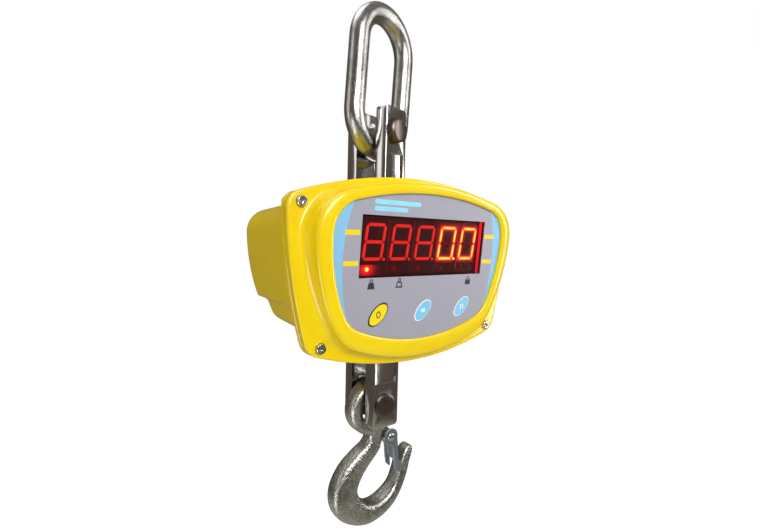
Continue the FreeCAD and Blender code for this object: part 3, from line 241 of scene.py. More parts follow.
class Shield:
    """top, top_radius, half_width, widest, side_radius, bottom, bottom_radius, corners."""

    def __init__(self, *sizes):
        self.sizes = np.array(sizes, float)

    def inset(self, d):
        """The shield drawn in by d: centres stay and radii shrink, the corners to 3 mm at least."""
        top, top_r, half, widest, side_r, low, low_r, upper, lower = self.sizes
        return Shield(top - d, top_r - d, half - d, widest, side_r - d, low + d, low_r - d,
                      max(upper - d, 3.0), max(lower - d, 3.0))

    def level(self, y, inset=0.0):
        """Upright ring at a depth y, drawn in by inset."""
        return upright(self.inset(inset).points(), y)

    def points(self):
        """Outline (x, z), clockwise from the top: centre + radius (cos a, sin a) per arc."""
        top, top_r, half, widest, side_r, low, low_r, upper, lower = self.sizes
        top_c = np.array((0.0, top - top_r))
        side_c = np.array((half - side_r, widest))
        low_c = np.array((0.0, low + low_r))
        upper_c = corner_centre(top_c, top_r - upper, side_c, side_r - upper, 1)
        lower_c = corner_centre(low_c, low_r - lower, side_c, side_r - lower, -1)
        turns = [np.pi / 2, heading(upper_c - top_c), heading(upper_c - side_c),
                 heading(lower_c - side_c), heading(lower_c - low_c), -np.pi / 2]
        arcs = ((top_c, top_r), (upper_c, upper), (side_c, side_r), (lower_c, lower), (low_c, low_r))
        right = []
        for (centre, radius), start, end, count in zip(arcs, turns, turns[1:], STRETCHES):
            a = np.linspace(start, end, count, endpoint=False)
            right.append(centre + radius * ray(a))
        right = np.concatenate(right + [np.array([[0.0, low]])])
        left = right[1:-1][::-1] * (-1.0, 1.0)
        return np.concatenate([right, left])


def ray(angles):
    """(cos a, sin a) for each angle."""
    return np.stack([np.cos(angles), np.sin(angles)], -1)


def heading(step):
    """Angle of a step in its plane."""
    return math.atan2(step[1], step[0])


def corner_centre(first, reach_a, second, reach_b, sign):
    """Where circles of reach_a about first and reach_b about second cross, on the outer side."""
    gap = np.linalg.norm(second - first)
    along = (reach_a ** 2 - reach_b ** 2 + gap ** 2) / (2 * gap)
    off = math.sqrt(reach_a ** 2 - along ** 2)
    step = (second - first) / gap
    foot = first + along * step
    across = np.array((-step[1], step[0])) * off
    return max(foot + across, foot - across, key=lambda p: p[0] + sign * p[1])


FLANGE = Shield(60.5, 366.0, 127.0, 40.0, 430.0, -104.0, 316.0, 13.0, 15.0)
FOOT = Shield(56.0, 340.0, 117.5, 15.0, 205.0, -101.0, 200.0, 42.0, 40.0)
SHELL = Shield(51.5, 357.0, 118.0, 14.0, 200.0, -95.0, 307.0, 28.0, 24.0)
RIM = Shield(54.0, 326.0, 111.0, 12.0, 160.0, -98.0, 192.0, 35.0, 40.0)
LABEL = Shield(45.6, 318.0, 97.0, 8.0, 146.0, -81.5, 185.0, 27.0, 30.0)
print("outline points", len(FLANGE.points()))

# %% [markdown]
# The flange's rings stand upright, but the display face leans forward by a few degrees.  These
# two functions lift an outline into space either way; depth counts inwards from the printed
# film's surface.

# %% Upright and leaning rings
FACE_TILT = math.radians(4.8)
FACE_Y = -80.7


def upright(outline, y):
    """(x, z) at a depth y: the point (x, y, z)."""
    return np.stack([outline[:, 0], np.full(len(outline), float(y)), outline[:, 1]], -1)


def leaning(outline, depth):
    """(u, v) at depth: y = FACE_Y + depth cos t - v sin t, z = depth sin t + v cos t."""
    u, v = outline[..., 0], outline[..., 1]
    depth = np.broadcast_to(depth, u.shape)
    return np.stack([u, FACE_Y + depth * math.cos(FACE_TILT) - v * math.sin(FACE_TILT),
                     depth * math.sin(FACE_TILT) + v * math.cos(FACE_TILT)], -1)


# %% [markdown]
# Finishes are written as arithmetic.  A Signal wraps one output socket, so that adding or
# multiplying signals adds the Math nodes; a Finish holds one material and makes any other node
# through a single method.

# %% Shader arithmetic
class Signal:
    """An output socket that can be used in sums and products."""

    def __init__(self, finish, socket):
        self.finish = finish
        self.socket = socket

    def math(self, operation, other=None, swap=False, clamp=False):
        """Math node on this signal, and on other if there is one; swap puts other first."""
        values = [self] if other is None else [self, other]
        if swap:
            values.reverse()
        return self.finish.node("Math", {"operation": operation, "use_clamp": clamp},
                                dict(enumerate(values)))

    def __add__(self, other):
        return self.math("ADD", other)

    def __sub__(self, other):
        return self.math("SUBTRACT", other)

    def __rsub__(self, other):
        return self.math("SUBTRACT", other, swap=True)

    def __mul__(self, other):
        return self.math("MULTIPLY", other)

    def __pow__(self, other):
        return self.math("POWER", other)

    __radd__ = __add__
    __rmul__ = __mul__

    def size(self):
        """Absolute value."""
        return self.math("ABSOLUTE")

    def above(self, edge, soft):
        """0 below edge, 1 above it, over a width of soft."""
        return ((self - edge) * (1 / soft) + 0.5).math("ADD", 0.0, clamp=True)


class Finish:
    """One material: a Principled shader and the nodes that feed it."""

    def __init__(self, name, **sockets):
        self.material = bpy.data.materials.new(name)
        self.material.use_nodes = True
        self.tree = self.material.node_tree
        self.shader = self.tree.nodes["Principled BSDF"]
        self.feed(**sockets)

    def node(self, kind, settings=None, inputs=None, output=0):
        """Node of a kind: its settings first, then the values or links of its sockets."""
        made = self.tree.nodes.new("ShaderNode" + kind)
        for key, value in (settings or {}).items():
            setattr(made, key, value)
        for key, value in (inputs or {}).items():
            self.connect(made.inputs[key], value)
        return Signal(self, made.outputs[output])

    def connect(self, socket, value):
        """Link a Signal to a socket, or set a plain value on it."""
        if isinstance(value, Signal):
            self.tree.links.new(value.socket, socket)
        else:
            socket.default_value = value

    def feed(self, **sockets):
        """Set or link the shader's own sockets."""
        for key, value in sockets.items():
            self.connect(self.shader.inputs[key.replace("_", " ")], value)
        return self

    def place(self):
        """Object coordinates: metres in the row's frame."""
        return self.node("TexCoord", output="Object")

    def stretched(self, scale, turn=(0.0, 0.0, 0.0)):
        """Object coordinates times scale, then turned."""
        return self.node("Mapping", inputs={"Vector": self.place(), "Scale": scale, "Rotation": turn})

    def noise(self, scale, detail=3.0, rough=0.55, at=None):
        """Soft noise of that scale, on object coordinates or at a given place."""
        return self.node("TexNoise", inputs={"Vector": at or self.place(), "Scale": scale,
                                             "Detail": detail, "Roughness": rough})

    def mix(self, share, first, second):
        """Colour from first to second as share goes from 0 to 1."""
        return self.node("Mix", {"data_type": "RGBA"}, {0: share, 6: first, 7: second}, output=2)

    def bump(self, height, strength, distance):
        """Height as a bump into the shader's normal."""
        normal = self.node("Bump", inputs={"Height": height, "Strength": strength,
                                           "Distance": distance})
        return self.feed(Normal=normal)

    def across(self):
        """Signals u and v in millimetres on the leaning face."""
        at = self.node("SeparateXYZ", inputs={0: self.place()})
        up = Signal(self, at.socket.node.outputs[2])
        u = at * (1 / MM) - float(HOME[0])
        v = (up * (1 / MM) - float(HOME[2])) * (1 / math.cos(FACE_TILT))
        return u, v


def rgb(red, green, blue):
    """Opaque colour."""
    return (red, green, blue, 1.0)


# %% [markdown]
# The shells are glossy injection mouldings in safety yellow.  A real moulding is never one flat
# colour: the pigment drifts slightly, and a faint orange-peel ripple breaks the highlights.

# %% Yellow moulding
def yellow_moulding():
    """Two yellows blended by slow noise; roughness is 0.19 + 0.10 noise."""
    finish = Finish("yellow_moulding", IOR=1.5)
    drift = finish.noise(22.0, 2.0)
    finish.feed(Base_Color=finish.mix(drift, rgb(0.88, 0.60, 0.0), rgb(0.96, 0.74, 0.006)),
                Roughness=finish.noise(60.0) * 0.10 + 0.19, Coat_Weight=0.35, Coat_Roughness=0.12)
    finish.bump(finish.noise(420.0, 2.0), 0.10, 0.0003)
    return finish.material


yellow = yellow_moulding()


# %% [markdown]
# Forged parts keep the skin of the forge under their zinc: a coarse dimpled grain with finer
# pitting on top, brighter where handling has rubbed the high spots.

# %% Forged zinc
def forged_zinc(name, grain, strength, low, high, rough):
    """Colour by 0.55 stain + 0.45 coarse grain, height by 0.7 coarse + 0.3 fine grain."""
    finish = Finish(name, Metallic=1.0)
    coarse = finish.noise(grain, 3.0, 0.6)
    fine = finish.noise(grain * 3.6, 2.0, 0.6)
    stain = finish.noise(38.0, 3.0)
    height = coarse * 0.7 + fine * 0.3
    finish.feed(Base_Color=finish.mix((stain * 0.55 + coarse * 0.45).above(0.5, 0.35), low, high),
                Roughness=stain * 0.18 + rough)
    finish.bump(height, strength, 0.0009)
    return finish.material


link_zinc = forged_zinc("forged_link_zinc", 620.0, 0.42, rgb(0.30, 0.29, 0.27), rgb(0.66, 0.65, 0.62), 0.09)
hook_zinc = forged_zinc("forged_hook_zinc", 430.0, 0.85, rgb(0.26, 0.26, 0.235), rgb(0.68, 0.68, 0.64), 0.10)


# %% [markdown]
# The forks are ground plate.  Long thin grinding lines run up the cheeks, so the noise is
# stretched along Z, and the plating is nearly a mirror.

# %% Ground plate and small steel parts
def drawn_steel(name, colour, rough, lines, depth):
    """Noise stretched into lines: colour by 0.6 streaks + 0.4 cloud, roughness and height by streaks."""
    finish = Finish(name, Metallic=1.0)
    streaks = finish.noise(1.0, 3.0, 0.6, finish.stretched(lines))
    cloud = finish.noise(30.0, 2.0)
    dark = rgb(*(0.62 * c for c in colour[:3]))
    finish.feed(Base_Color=finish.mix(streaks * 0.6 + cloud * 0.4, dark, colour),
                Roughness=streaks * 0.14 + rough)
    finish.bump(streaks, depth, 0.0002)
    return finish.material


fork_steel = drawn_steel("ground_fork_plate", rgb(0.66, 0.65, 0.64), 0.07, (520.0, 520.0, 14.0), 0.10)
pin_steel = drawn_steel("turned_pin_steel", rgb(0.22, 0.175, 0.15), 0.24, (160.0, 30.0, 160.0), 0.25)
bright_steel = drawn_steel("bright_screw_steel", rgb(0.74, 0.74, 0.73), 0.16, (300.0, 300.0, 300.0), 0.08)
cell_steel = drawn_steel("plated_cell_steel", rgb(0.60, 0.60, 0.58), 0.22, (60.0, 900.0, 60.0), 0.10)
strap_steel = drawn_steel("plated_strap", rgb(0.52, 0.54, 0.56), 0.30, (18.0, 500.0, 500.0), 0.12)
latch_zinc = drawn_steel("blue_zinc_sheet", rgb(0.56, 0.66, 0.74), 0.26, (260.0, 260.0, 90.0), 0.16)
brass = drawn_steel("turned_brass", rgb(0.62, 0.42, 0.13), 0.22, (60.0, 700.0, 60.0), 0.10)
foil = drawn_steel("brushed_foil", rgb(0.72, 0.72, 0.70), 0.28, (12.0, 700.0, 700.0), 0.12)


# %% [markdown]
# Plastics and rubbers differ mainly in how rough they are and how coarse their grain is, so
# one recipe makes the plain ones.

# %% Plastics and rubber
def grained(name, colour, rough, grain, depth):
    """Colour that pales with slow noise, bumped by its grain."""
    finish = Finish(name)
    pale = rgb(*(min(1.0, 1.35 * c + 0.006) for c in colour[:3]))
    cloud = finish.noise(grain * 0.12, 2.0)
    finish.feed(Base_Color=finish.mix(cloud, colour, pale), Roughness=cloud * 0.14 + rough)
    finish.bump(finish.noise(grain, 2.0), depth, 0.0002)
    return finish.material


rubber = grained("black_rubber", rgb(0.018, 0.018, 0.018), 0.55, 700.0, 0.25)
black_plastic = grained("black_switch_plastic", rgb(0.02, 0.02, 0.02), 0.35, 500.0, 0.15)
module_black = grained("display_black", rgb(0.010, 0.004, 0.004), 0.30, 400.0, 0.10)
lead_jacket = grained("lead_jacket", rgb(0.02, 0.02, 0.024), 0.42, 600.0, 0.15)
battery_wrap = grained("battery_wrap", rgb(0.02, 0.07, 0.30), 0.18, 60.0, 0.30)


# %% Circuit board
def circuit_board():
    """Green mask with slightly paler tracks, from a brick pattern turned to the board."""
    finish = Finish("green_board", Roughness=0.3)
    tracks = finish.node("TexBrick", {"offset": 0.5},
                         {"Vector": finish.stretched((1.0, 1.0, 1.0), (math.pi / 2, 0.0, 0.0)),
                          "Color1": rgb(0.004, 0.07, 0.02), "Color2": rgb(0.006, 0.10, 0.03),
                          "Mortar": rgb(0.02, 0.22, 0.07), "Scale": 120.0, "Mortar Size": 0.03})
    finish.feed(Base_Color=tracks)
    finish.bump(finish.noise(300.0), 0.08, 0.0002)
    return finish.material


board_green = circuit_board()

# %% [markdown]
# The printed film is lilac-grey.  At its left and right it turns light blue outside a long arc,
# and two pairs of short yellow bars point at the window.

# %% Printed film
BAND_RADIUS = 150.0
BAND_REACH = 87.3
BAND_V = -12.0
BARS = ((9.0, 13.0), (-15.2, -11.4))
BAR_FROM, BAR_TO = 73.0, 86.6


def printed_film():
    """Blue outside the arc sqrt((|u| - a)^2 + (v - b)^2) = r, yellow inside the short bars."""
    finish = Finish("printed_film", IOR=1.46)
    u, v = finish.across()
    side = u.size()
    bow = ((side - (BAND_REACH - BAND_RADIUS)) ** 2 + (v - BAND_V) ** 2).math("SQRT")
    colour = finish.mix(bow.above(BAND_RADIUS, 0.3), rgb(0.37, 0.37, 0.44), rgb(0.24, 0.56, 0.84))
    across_bar = side.above(BAR_FROM, 0.3) * (1 - side.above(BAR_TO, 0.3))
    for low, high in BARS:
        share = across_bar * v.above(low, 0.3) * (1 - v.above(high, 0.3))
        colour = finish.mix(share, colour, rgb(0.93, 0.70, 0.01))
    finish.feed(Base_Color=colour, Roughness=finish.noise(90.0) * 0.10 + 0.34)
    finish.bump(finish.noise(900.0, 2.0), 0.08, 0.0001)
    return finish.material


film = printed_film()

# %% [markdown]
# Each key is an oval printed with a dark or white edge.  The distance from its centre is
# measured along the oval's own slanted axes, so the edge follows the outline.

# %% Keys
KEY_V = -56.4
KEY_LONG, KEY_SHORT = 23.7, 13.6
KEYS = {"zero_button": -49.6, "unit_button": 0.0, "hold_button": 49.6}


def key_cap(name, at, middle, edge):
    """Edge colour where sqrt(long^2 + short^2), on the oval's own axes, is above 0.9."""
    finish = Finish(name)
    u, v = finish.across()
    half = math.sqrt(0.5)
    long_way = ((u - at) + (v - KEY_V)) * (half / (KEY_LONG / 2))
    short_way = ((v - KEY_V) - (u - at)) * (half / (KEY_SHORT / 2))
    reach = (long_way ** 2 + short_way ** 2).math("SQRT")
    colour = finish.mix(reach.above(0.90, 0.03), middle, edge)
    finish.feed(Base_Color=colour, Roughness=finish.noise(120.0) * 0.08 + 0.28)
    finish.bump(finish.noise(800.0), 0.06, 0.0001)
    return finish.material


KEY_YELLOW, KEY_BLUE = rgb(0.95, 0.74, 0.01), rgb(0.22, 0.60, 0.88)
INK, WHITE = rgb(0.02, 0.02, 0.03), rgb(0.88, 0.93, 0.97)
key_caps = {"zero_button": key_cap("yellow_key", KEYS["zero_button"], KEY_YELLOW, INK),
            "unit_button": key_cap("blue_unit_key", KEYS["unit_button"], KEY_BLUE, WHITE),
            "hold_button": key_cap("blue_hold_key", KEYS["hold_button"], KEY_BLUE, WHITE)}
dark_ink = grained("dark_ink", INK, 0.40, 900.0, 0.05)
white_ink = grained("white_ink", rgb(0.75, 0.85, 0.92), 0.40, 900.0, 0.05)
blue_ink = grained("light_blue_ink", rgb(0.25, 0.62, 0.88), 0.40, 900.0, 0.05)

# %% [markdown]
# Light inside the display is carried by numbers stored on the mesh: "core" is 1 along the
# middle of a lit bar, and "glow" fades with distance from the bars.  The window is a dark red
# filter that lets a little more than half of it through.

# %% Lamps, glow and filter
def lit(name, edge, core, power, attribute="core"):
    """Emission from edge to core colour as the mesh's attribute goes from 0 to 1."""
    finish = Finish(name, Roughness=0.35, Base_Color=rgb(0.03, 0.004, 0.004), Emission_Strength=power)
    share = finish.node("Attribute", {"attribute_name": attribute}, output=2)
    return finish.feed(Emission_Color=finish.mix(share ** 1.6, edge, core)).material


bright_bars = lit("bright_bars", rgb(1.0, 0.10, 0.012), rgb(1.0, 0.86, 0.10), 4.2)
dim_bars = lit("dim_bars", rgb(0.80, 0.012, 0.010), rgb(1.0, 0.035, 0.02), 2.3)
dark_bars = lit("dark_bars", rgb(0.22, 0.004, 0.008), rgb(0.30, 0.008, 0.012), 1.0)
glow_red = lit("red_glow", rgb(0.014, 0.004, 0.004), rgb(1.0, 0.012, 0.022), 2.6, "glow")


def red_filter():
    """Dark red that lets nearly two thirds through."""
    finish = Finish("red_filter", Roughness=0.04, IOR=1.49)
    cloud = finish.noise(40.0)
    finish.feed(Base_Color=finish.mix(cloud, rgb(0.030, 0.001, 0.002), rgb(0.045, 0.002, 0.003)),
                Alpha=cloud * 0.04 + 0.36)
    return finish.material


window_red = red_filter()

# %% [markdown]
# Front cover.  One section, carried round the shields: flange, a wall that sweeps up in a hollow
# curve, a rounded rim, and the pocket for the film.  It comes back behind the face, so the whole
# piece is one closed ring of material.

# %% Front cover surface
COVER_FRONT_Y, COVER_BACK_Y = -66.0, -59.5
RIM_PROUD, RIM_FULLNESS = 3.0, 0.62    # the rim rises sin(pi s) ^ fullness above its feet
RIM_OUTER_DEPTH, RIM_INNER_DEPTH = 0.8, -0.5
IN_POWER, FORWARD_POWER = 2.1, 1.9    # how late the hollow wall turns inwards and forwards
WALL = 3.0
POCKET = 1.0
BACK_EDGE, FRONT_EDGE = 0.7, 1.8      # radii of the flange's two edges
SCREWS = ((115.5, 33.0), (97.5, -80.5))
SCREW_SPOTS = [(side * x, z) for x, z in SCREWS for side in (1, -1)]


def cover_rings():
    """Round the section: flange, hollow wall, rim, pocket and back to the flange's inside."""
    rings = [FOOT.level(COVER_BACK_Y, WALL), FLANGE.level(COVER_BACK_Y, BACK_EDGE)]
    for turn in np.linspace(0, np.pi / 2, 4):
        rings.append(FLANGE.level(COVER_BACK_Y - BACK_EDGE + BACK_EDGE * math.cos(turn),
                                  BACK_EDGE - BACK_EDGE * math.sin(turn)))
    for turn in np.linspace(0, np.pi / 2, 6):
        rings.append(FLANGE.level(COVER_FRONT_Y + FRONT_EDGE - FRONT_EDGE * math.sin(turn),
                                  FRONT_EDGE - FRONT_EDGE * math.cos(turn)))
    foot, edge = FOOT.level(COVER_FRONT_Y, -1.6), FLANGE.level(COVER_FRONT_Y, FRONT_EDGE)
    rings += [edge + (foot - edge) * share for share in (0.35, 0.7)]
    rim = leaning(RIM.points(), RIM_OUTER_DEPTH)
    for s in np.linspace(0, 1, 14)[:-1]:
        inward = 1 - (1 - s) ** IN_POWER
        forward = s ** FORWARD_POWER
        rings.append(foot + (rim - foot) * np.array((inward, forward, inward)))
    outer, inner = RIM.points(), LABEL.points()
    for s in np.linspace(0, 1, 16):
        inward = (1 - math.cos(math.pi * s)) / 2
        depth = RIM_OUTER_DEPTH * (1 - s) + RIM_INNER_DEPTH * s
        depth -= (RIM_PROUD + 0.1) * math.sin(math.pi * s) ** RIM_FULLNESS
        rings.append(leaning(outer + (inner - outer) * inward, depth))
    pocket = LABEL.inset(8.0).points()
    rings += [leaning(LABEL.inset(-0.1).points(), 0.0), leaning(LABEL.inset(-0.1).points(), POCKET),
              leaning(pocket, POCKET), leaning(pocket, POCKET + WALL),
              leaning(RIM.inset(WALL + 3.5).points(), POCKET + WALL)]
    return rings


DEPTHWAYS, UPRIGHT = (0, 1, 0), (0, 0, 1)
HEAD_HOLE, SHANK_HOLE = 4.6, 2.75
SEAT_Y = COVER_FRONT_Y + 2.6
COVER_SHARP = 32.0
cover = draw("front_cover_moulding", skin(cover_rings(), closed=True), COVER_SHARP)
for x, z in SCREW_SPOTS:
    drill(cover, (x, 0, z), DEPTHWAYS, -95.0, SEAT_Y, HEAD_HOLE)
    drill(cover, (x, 0, z), DEPTHWAYS, SEAT_Y - 1.0, -50.0, SHANK_HOLE)
crease(cover.data, COVER_SHARP)
fit(cover, "scale", yellow, ["front_cover"])

# %% [markdown]
# Rear housing.  A deep cup: flange, drafted wall, rounded back, then the same again 3 mm inside.
# Below a step it is narrower and shallower, which a smooth ramp in height gives to every ring.

# %% Rear housing surface
SHELL_FRONT_Y, SHELL_BACK_Y = -58.5, 70.0
DRAFT, BACK_ROUND = 5.5, 16.0
FLANGE_THICK = 4.5
STEP_Z, STEP_IN, STEP_BACK, STEP_RISE = -54.0, 7.0, 8.0, 4.0
STEP_FROM, STEP_RUN = 4.6, 5.0        # how far behind the joint the step starts and fills out
BACK_MIDDLE = np.array((0.0, -22.0))


def smooth(value):
    """3 x^2 - 2 x^3, held at 0 and 1 outside."""
    value = np.clip(value, 0.0, 1.0)
    return value * value * (3 - 2 * value)


def stepped(ring, shrink):
    """Below the step, x is drawn in by STEP_IN and depth by STEP_BACK, over STEP_RISE of height."""
    ring = ring.copy()
    below = smooth((STEP_Z + shrink + STEP_RISE / 2 - ring[:, 2]) / STEP_RISE)
    behind = smooth((ring[:, 1] - SHELL_FRONT_Y - STEP_FROM) / STEP_RUN)
    deep = np.clip((ring[:, 1] - SHELL_FRONT_Y) / (SHELL_BACK_Y - SHELL_FRONT_Y), 0.0, 1.0)
    ring[:, 0] *= 1 - below * behind * STEP_IN / SHELL.sizes[2]
    ring[:, 1] -= below * deep * STEP_BACK
    return ring


def cup_rings(shrink, front_y):
    """From the back's middle, round its edge and forward along the wall to front_y."""
    back = SHELL_BACK_Y - shrink
    rounding = BACK_ROUND - shrink
    rear = SHELL.inset(shrink + DRAFT)
    floor = rear.inset(rounding).points()
    rings = [upright(BACK_MIDDLE + (floor - BACK_MIDDLE) * share, back)
             for share in (0.02, 0.3, 0.6, 0.85)]
    for turn in np.linspace(np.pi / 2, 0, 9):
        rings.append(rear.level(back - rounding + rounding * math.sin(turn),
                                rounding * (1 - math.cos(turn))))
    for share in np.linspace(0, 1, 14)[1:]:
        rings.append(SHELL.level(back - rounding + (front_y - back + rounding) * share,
                                 shrink + DRAFT * (1 - share)))
    return [stepped(ring, shrink) for ring in rings]


def rear_rings():
    """Outer cup from the back forward, then the flange, then the inner cup back again."""
    flange_back = SHELL_FRONT_Y + FLANGE_THICK
    rings = cup_rings(0.0, flange_back + 1.2)
    rings.append(SHELL.level(flange_back, -1.0))
    rings += [FLANGE.level(flange_back, 0.8), FLANGE.level(flange_back - 0.8),
              FLANGE.level(SHELL_FRONT_Y + 0.7), FLANGE.level(SHELL_FRONT_Y, 0.7)]
    return rings + cup_rings(WALL, SHELL_FRONT_Y)[::-1]


BOSS_RADIUS, BOSS_END = 6.0, -43.5
INSERT_RADIUS, INSERT_END = 3.5, SHELL_FRONT_Y + 9.5
SEAL_HOLE, SOCKET_HOLE = 16.6, 6.15
SOCKET_AT = (-79.0, 0, -24.0)
REAR_SHARP = 40.0
rear = draw("rear_housing_moulding", skin(rear_rings()), REAR_SHARP)
for x, z in SCREW_SPOTS:
    drill(rear, (x, 0, z), DEPTHWAYS, SHELL_FRONT_Y + 0.1, BOSS_END, BOSS_RADIUS, operation="UNION")
    drill(rear, (x, 0, z), DEPTHWAYS, -62.0, INSERT_END, INSERT_RADIUS)
for low, high in ((40.0, 75.0), (-115.0, -80.0)):
    drill(rear, (0, 0, 0), UPRIGHT, low, high, SEAL_HOLE, 64)
drill(rear, SOCKET_AT, DEPTHWAYS, 60.0, 75.0, SOCKET_HOLE)
crease(rear.data, REAR_SHARP)
fit(rear, "scale", yellow, ["rear_housing"])

# %% [markdown]
# Lifting link.  A round bar forged into a long loop: two straights and two half circles.  The
# bar's circle is carried round that path, slightly flattened by the dies on its front and back,
# and the loop leans as it hangs.

# %% Lifting link surface
LINK_BAR, LINK_WIDTH, LINK_HEIGHT = 20.0, 90.0, 156.0
LINK_LEAN = math.radians(4.5)
DIE_FLAT = 0.03                       # share of the radius that the dies take off
FORK_TURN = math.radians(13.9)
PIN_RADIUS = 7.0
LOOSE_GAP = 0.3


def about_top_pin(points):
    """From the fork's own directions about its pin into the column's frame."""
    x, y, z = points[..., 0], points[..., 1], points[..., 2]
    cos, sin = math.cos(FORK_TURN), math.sin(FORK_TURN)
    return np.stack([x * cos - y * sin, x * sin + y * cos, z], -1) + TOP_PIN


def link_rings():
    """Path of two half circles and two straights; its section has radius r (1 - flat sin^6 b)."""
    bend = (LINK_WIDTH - LINK_BAR) / 2
    low = bend - (PIN_RADIUS + LOOSE_GAP + LINK_BAR / 2)
    high = low + LINK_HEIGHT - LINK_WIDTH
    a = np.linspace(0, np.pi, 44)
    straight = np.linspace(0, 1, 20)[1:-1]
    count = len(straight)
    path = np.concatenate([bend * ray(a) + (0.0, high),
                           np.stack([np.full(count, -bend), high + (low - high) * straight], -1),
                           (0.0, low) - bend * ray(a),
                           np.stack([np.full(count, bend), low + (high - low) * straight], -1)])
    outward = np.concatenate([ray(a), np.tile((-1.0, 0.0), (count, 1)),
                              -ray(a), np.tile((1.0, 0.0), (count, 1))])
    b = np.linspace(0, 2 * np.pi, 40, endpoint=False)
    radius = LINK_BAR / 2 * (1 - DIE_FLAT * np.sin(b) ** 6)
    x = path[:, :1] + outward[:, :1] * radius * np.cos(b)
    z = path[:, 1:] + outward[:, 1:] * radius * np.cos(b)
    y = np.broadcast_to(radius * np.sin(b), x.shape)
    cos, sin = math.cos(LINK_LEAN), math.sin(LINK_LEAN)
    return about_top_pin(np.stack([x * cos + z * sin, y, z * cos - x * sin], -1))


link = draw("forged_lifting_link", skin(link_rings(), closed=True), sharp=60.0)
fit(link, "link", link_zinc, ["lifting_link"])

# %% [markdown]
# Forks and pins are sawn and turned from solid bar, and what makes them look real is the
# small flat broken along each edge.  So a merged copy of the CAD solid is taken, its flat
# faces are cleared of spare edges, and a narrow bevel is put on everything sharp.

# %% Easing the edges of a solid
def eased(node, name, width, finish, segments=2):
    """Copy of a node with its sharp edges bevelled by width millimetres."""
    mesh = frame["nodes"][node].data.copy()
    mesh.name = name
    piece = show(name, mesh)
    for kind, settings in (("WELD", {"merge_threshold": 2e-6}),
                           ("DECIMATE", {"decimate_type": "DISSOLVE", "angle_limit": 0.01}),
                           ("BEVEL", {"width": width * MM, "segments": segments,
                                      "limit_method": "ANGLE", "angle_limit": math.radians(38)})):
        modifier = piece.modifiers.new(kind.lower(), kind)
        for key, value in settings.items():
            setattr(modifier, key, value)
    settle(piece)
    crease(piece.data, 32.0)
    body = frame["nodes"][node]["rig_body"]
    return fit(piece, body, finish, [node])


slot_of = {part["node"]: part["material_slot"] for part in frame["record"]["subparts"]}
eased("top_fork", "top_fork_eased", 0.7, fork_steel)
eased("bottom_fork", "bottom_fork_eased", 0.7, fork_steel)
eased("cover_screws", "cover_screws_eased", 0.25, bright_steel)
eased("rating_plate", "rating_plate_eased", 0.2, foil)

# %% [markdown]
# Clevis pins.  The head is turned with a low step and a chamfer; the rim of the top pin's head
# is knurled, which a small ripple in its radius gives.

# %% Clevis pins
FORK_HALF = 24.5
PIN_HEAD = 12.0
PIN_END = FORK_HALF + 4.5
KNURL_TEETH = 30


def clevis_pin(name, node, centre, axis, body, head, knurl):
    """Pin with a head of that thickness; knurl is how deep the ripple of its rim goes."""
    front, ease = -FORK_HALF - head, head / 6.0
    stations = [front, front, front + 0.25 * ease, front + 0.9 * ease, front + 1.6 * ease,
                -FORK_HALF - 0.4 * ease, -FORK_HALF, -FORK_HALF, PIN_END - 0.8, PIN_END]
    radii = [0.4, PIN_HEAD - 2.6, PIN_HEAD - 1.9, PIN_HEAD - 0.9, PIN_HEAD - knurl, PIN_HEAD - knurl,
             PIN_HEAD - 0.4, PIN_RADIUS, PIN_RADIUS, PIN_RADIUS - 0.8]
    rim = np.isin(np.arange(len(radii)), (4, 5))[:, None] * knurl
    surface = turned(stations, radii, centre, axis, 120, wave=rim, teeth=KNURL_TEETH)
    fit(draw(name, surface, 30.0), body, pin_steel, [node])


turn_axis = (-math.sin(FORK_TURN), math.cos(FORK_TURN), 0.0)
clevis_pin("top_pin_turned", "top_pin", TOP_PIN, turn_axis, "swivel_fork", 6.0, 0.28)
clevis_pin("bottom_pin_turned", "bottom_pin", BOTTOM_PIN, DEPTHWAYS, "scale", 2.6, 0.05)

# %% [markdown]
# Load hook.  Forging leaves no sharp joins, so the hook is built as overlapping bodies (a swept
# shank and bowl, the eye's ring, the ear for the latch) which a voxel remesh melts into one
# skin.  A few rounds of smoothing then give the joins the radius of a forging die.

# %% Hook: shank and bowl
HOOK_HALF = 9.5
EYE_DROP, EYE_OUTER, EYE_BORE = 8.0, 28.5, 15.3
# x, z about the bottom pin, half width in the hook's plane, half thickness
SHANK = np.array(((4.8, -30.0, 10.6, 9.4), (4.8, -38.0, 10.0, 9.2), (3.2, -45.5, 9.6, 9.0),
                  (-3.5, -53.5, 9.8, 9.2), (-14.0, -61.5, 11.2, 9.8), (-25.5, -73.0, 13.2, 10.4),
                  (-32.6, -88.0, 14.2, 10.8), (-30.0, -102.6, 14.8, 11.0), (-20.4, -113.1, 13.2, 11.0),
                  (-6.0, -120.3, 10.9, 11.0), (9.0, -119.7, 9.1, 11.0), (23.2, -113.4, 7.9, 10.8),
                  (34.0, -102.5, 7.0, 9.4), (40.2, -89.5, 7.0, 9.2), (43.9, -77.5, 7.0, 8.8),
                  (48.2, -69.0, 6.6, 8.0), (51.6, -64.2, 5.2, 6.6), (53.0, -62.2, 3.4, 4.6)))


def eased_line(knots, count):
    """Smooth curve through knots: cubic Hermite spans with slopes from their neighbours."""
    slopes = np.gradient(knots, axis=0)
    t = np.linspace(0, len(knots) - 1.001, count)
    i = t.astype(int)
    f = (t - i)[:, None]
    return ((2 * f ** 3 - 3 * f ** 2 + 1) * knots[i] + (f ** 3 - 2 * f ** 2 + f) * slopes[i]
            + (3 * f ** 2 - 2 * f ** 3) * knots[i + 1] + (f ** 3 - f ** 2) * slopes[i + 1])


def tangents(line):
    """Unit vectors along a line of points."""
    along = np.gradient(line, axis=0)
    return along / np.linalg.norm(along, axis=1)[:, None]


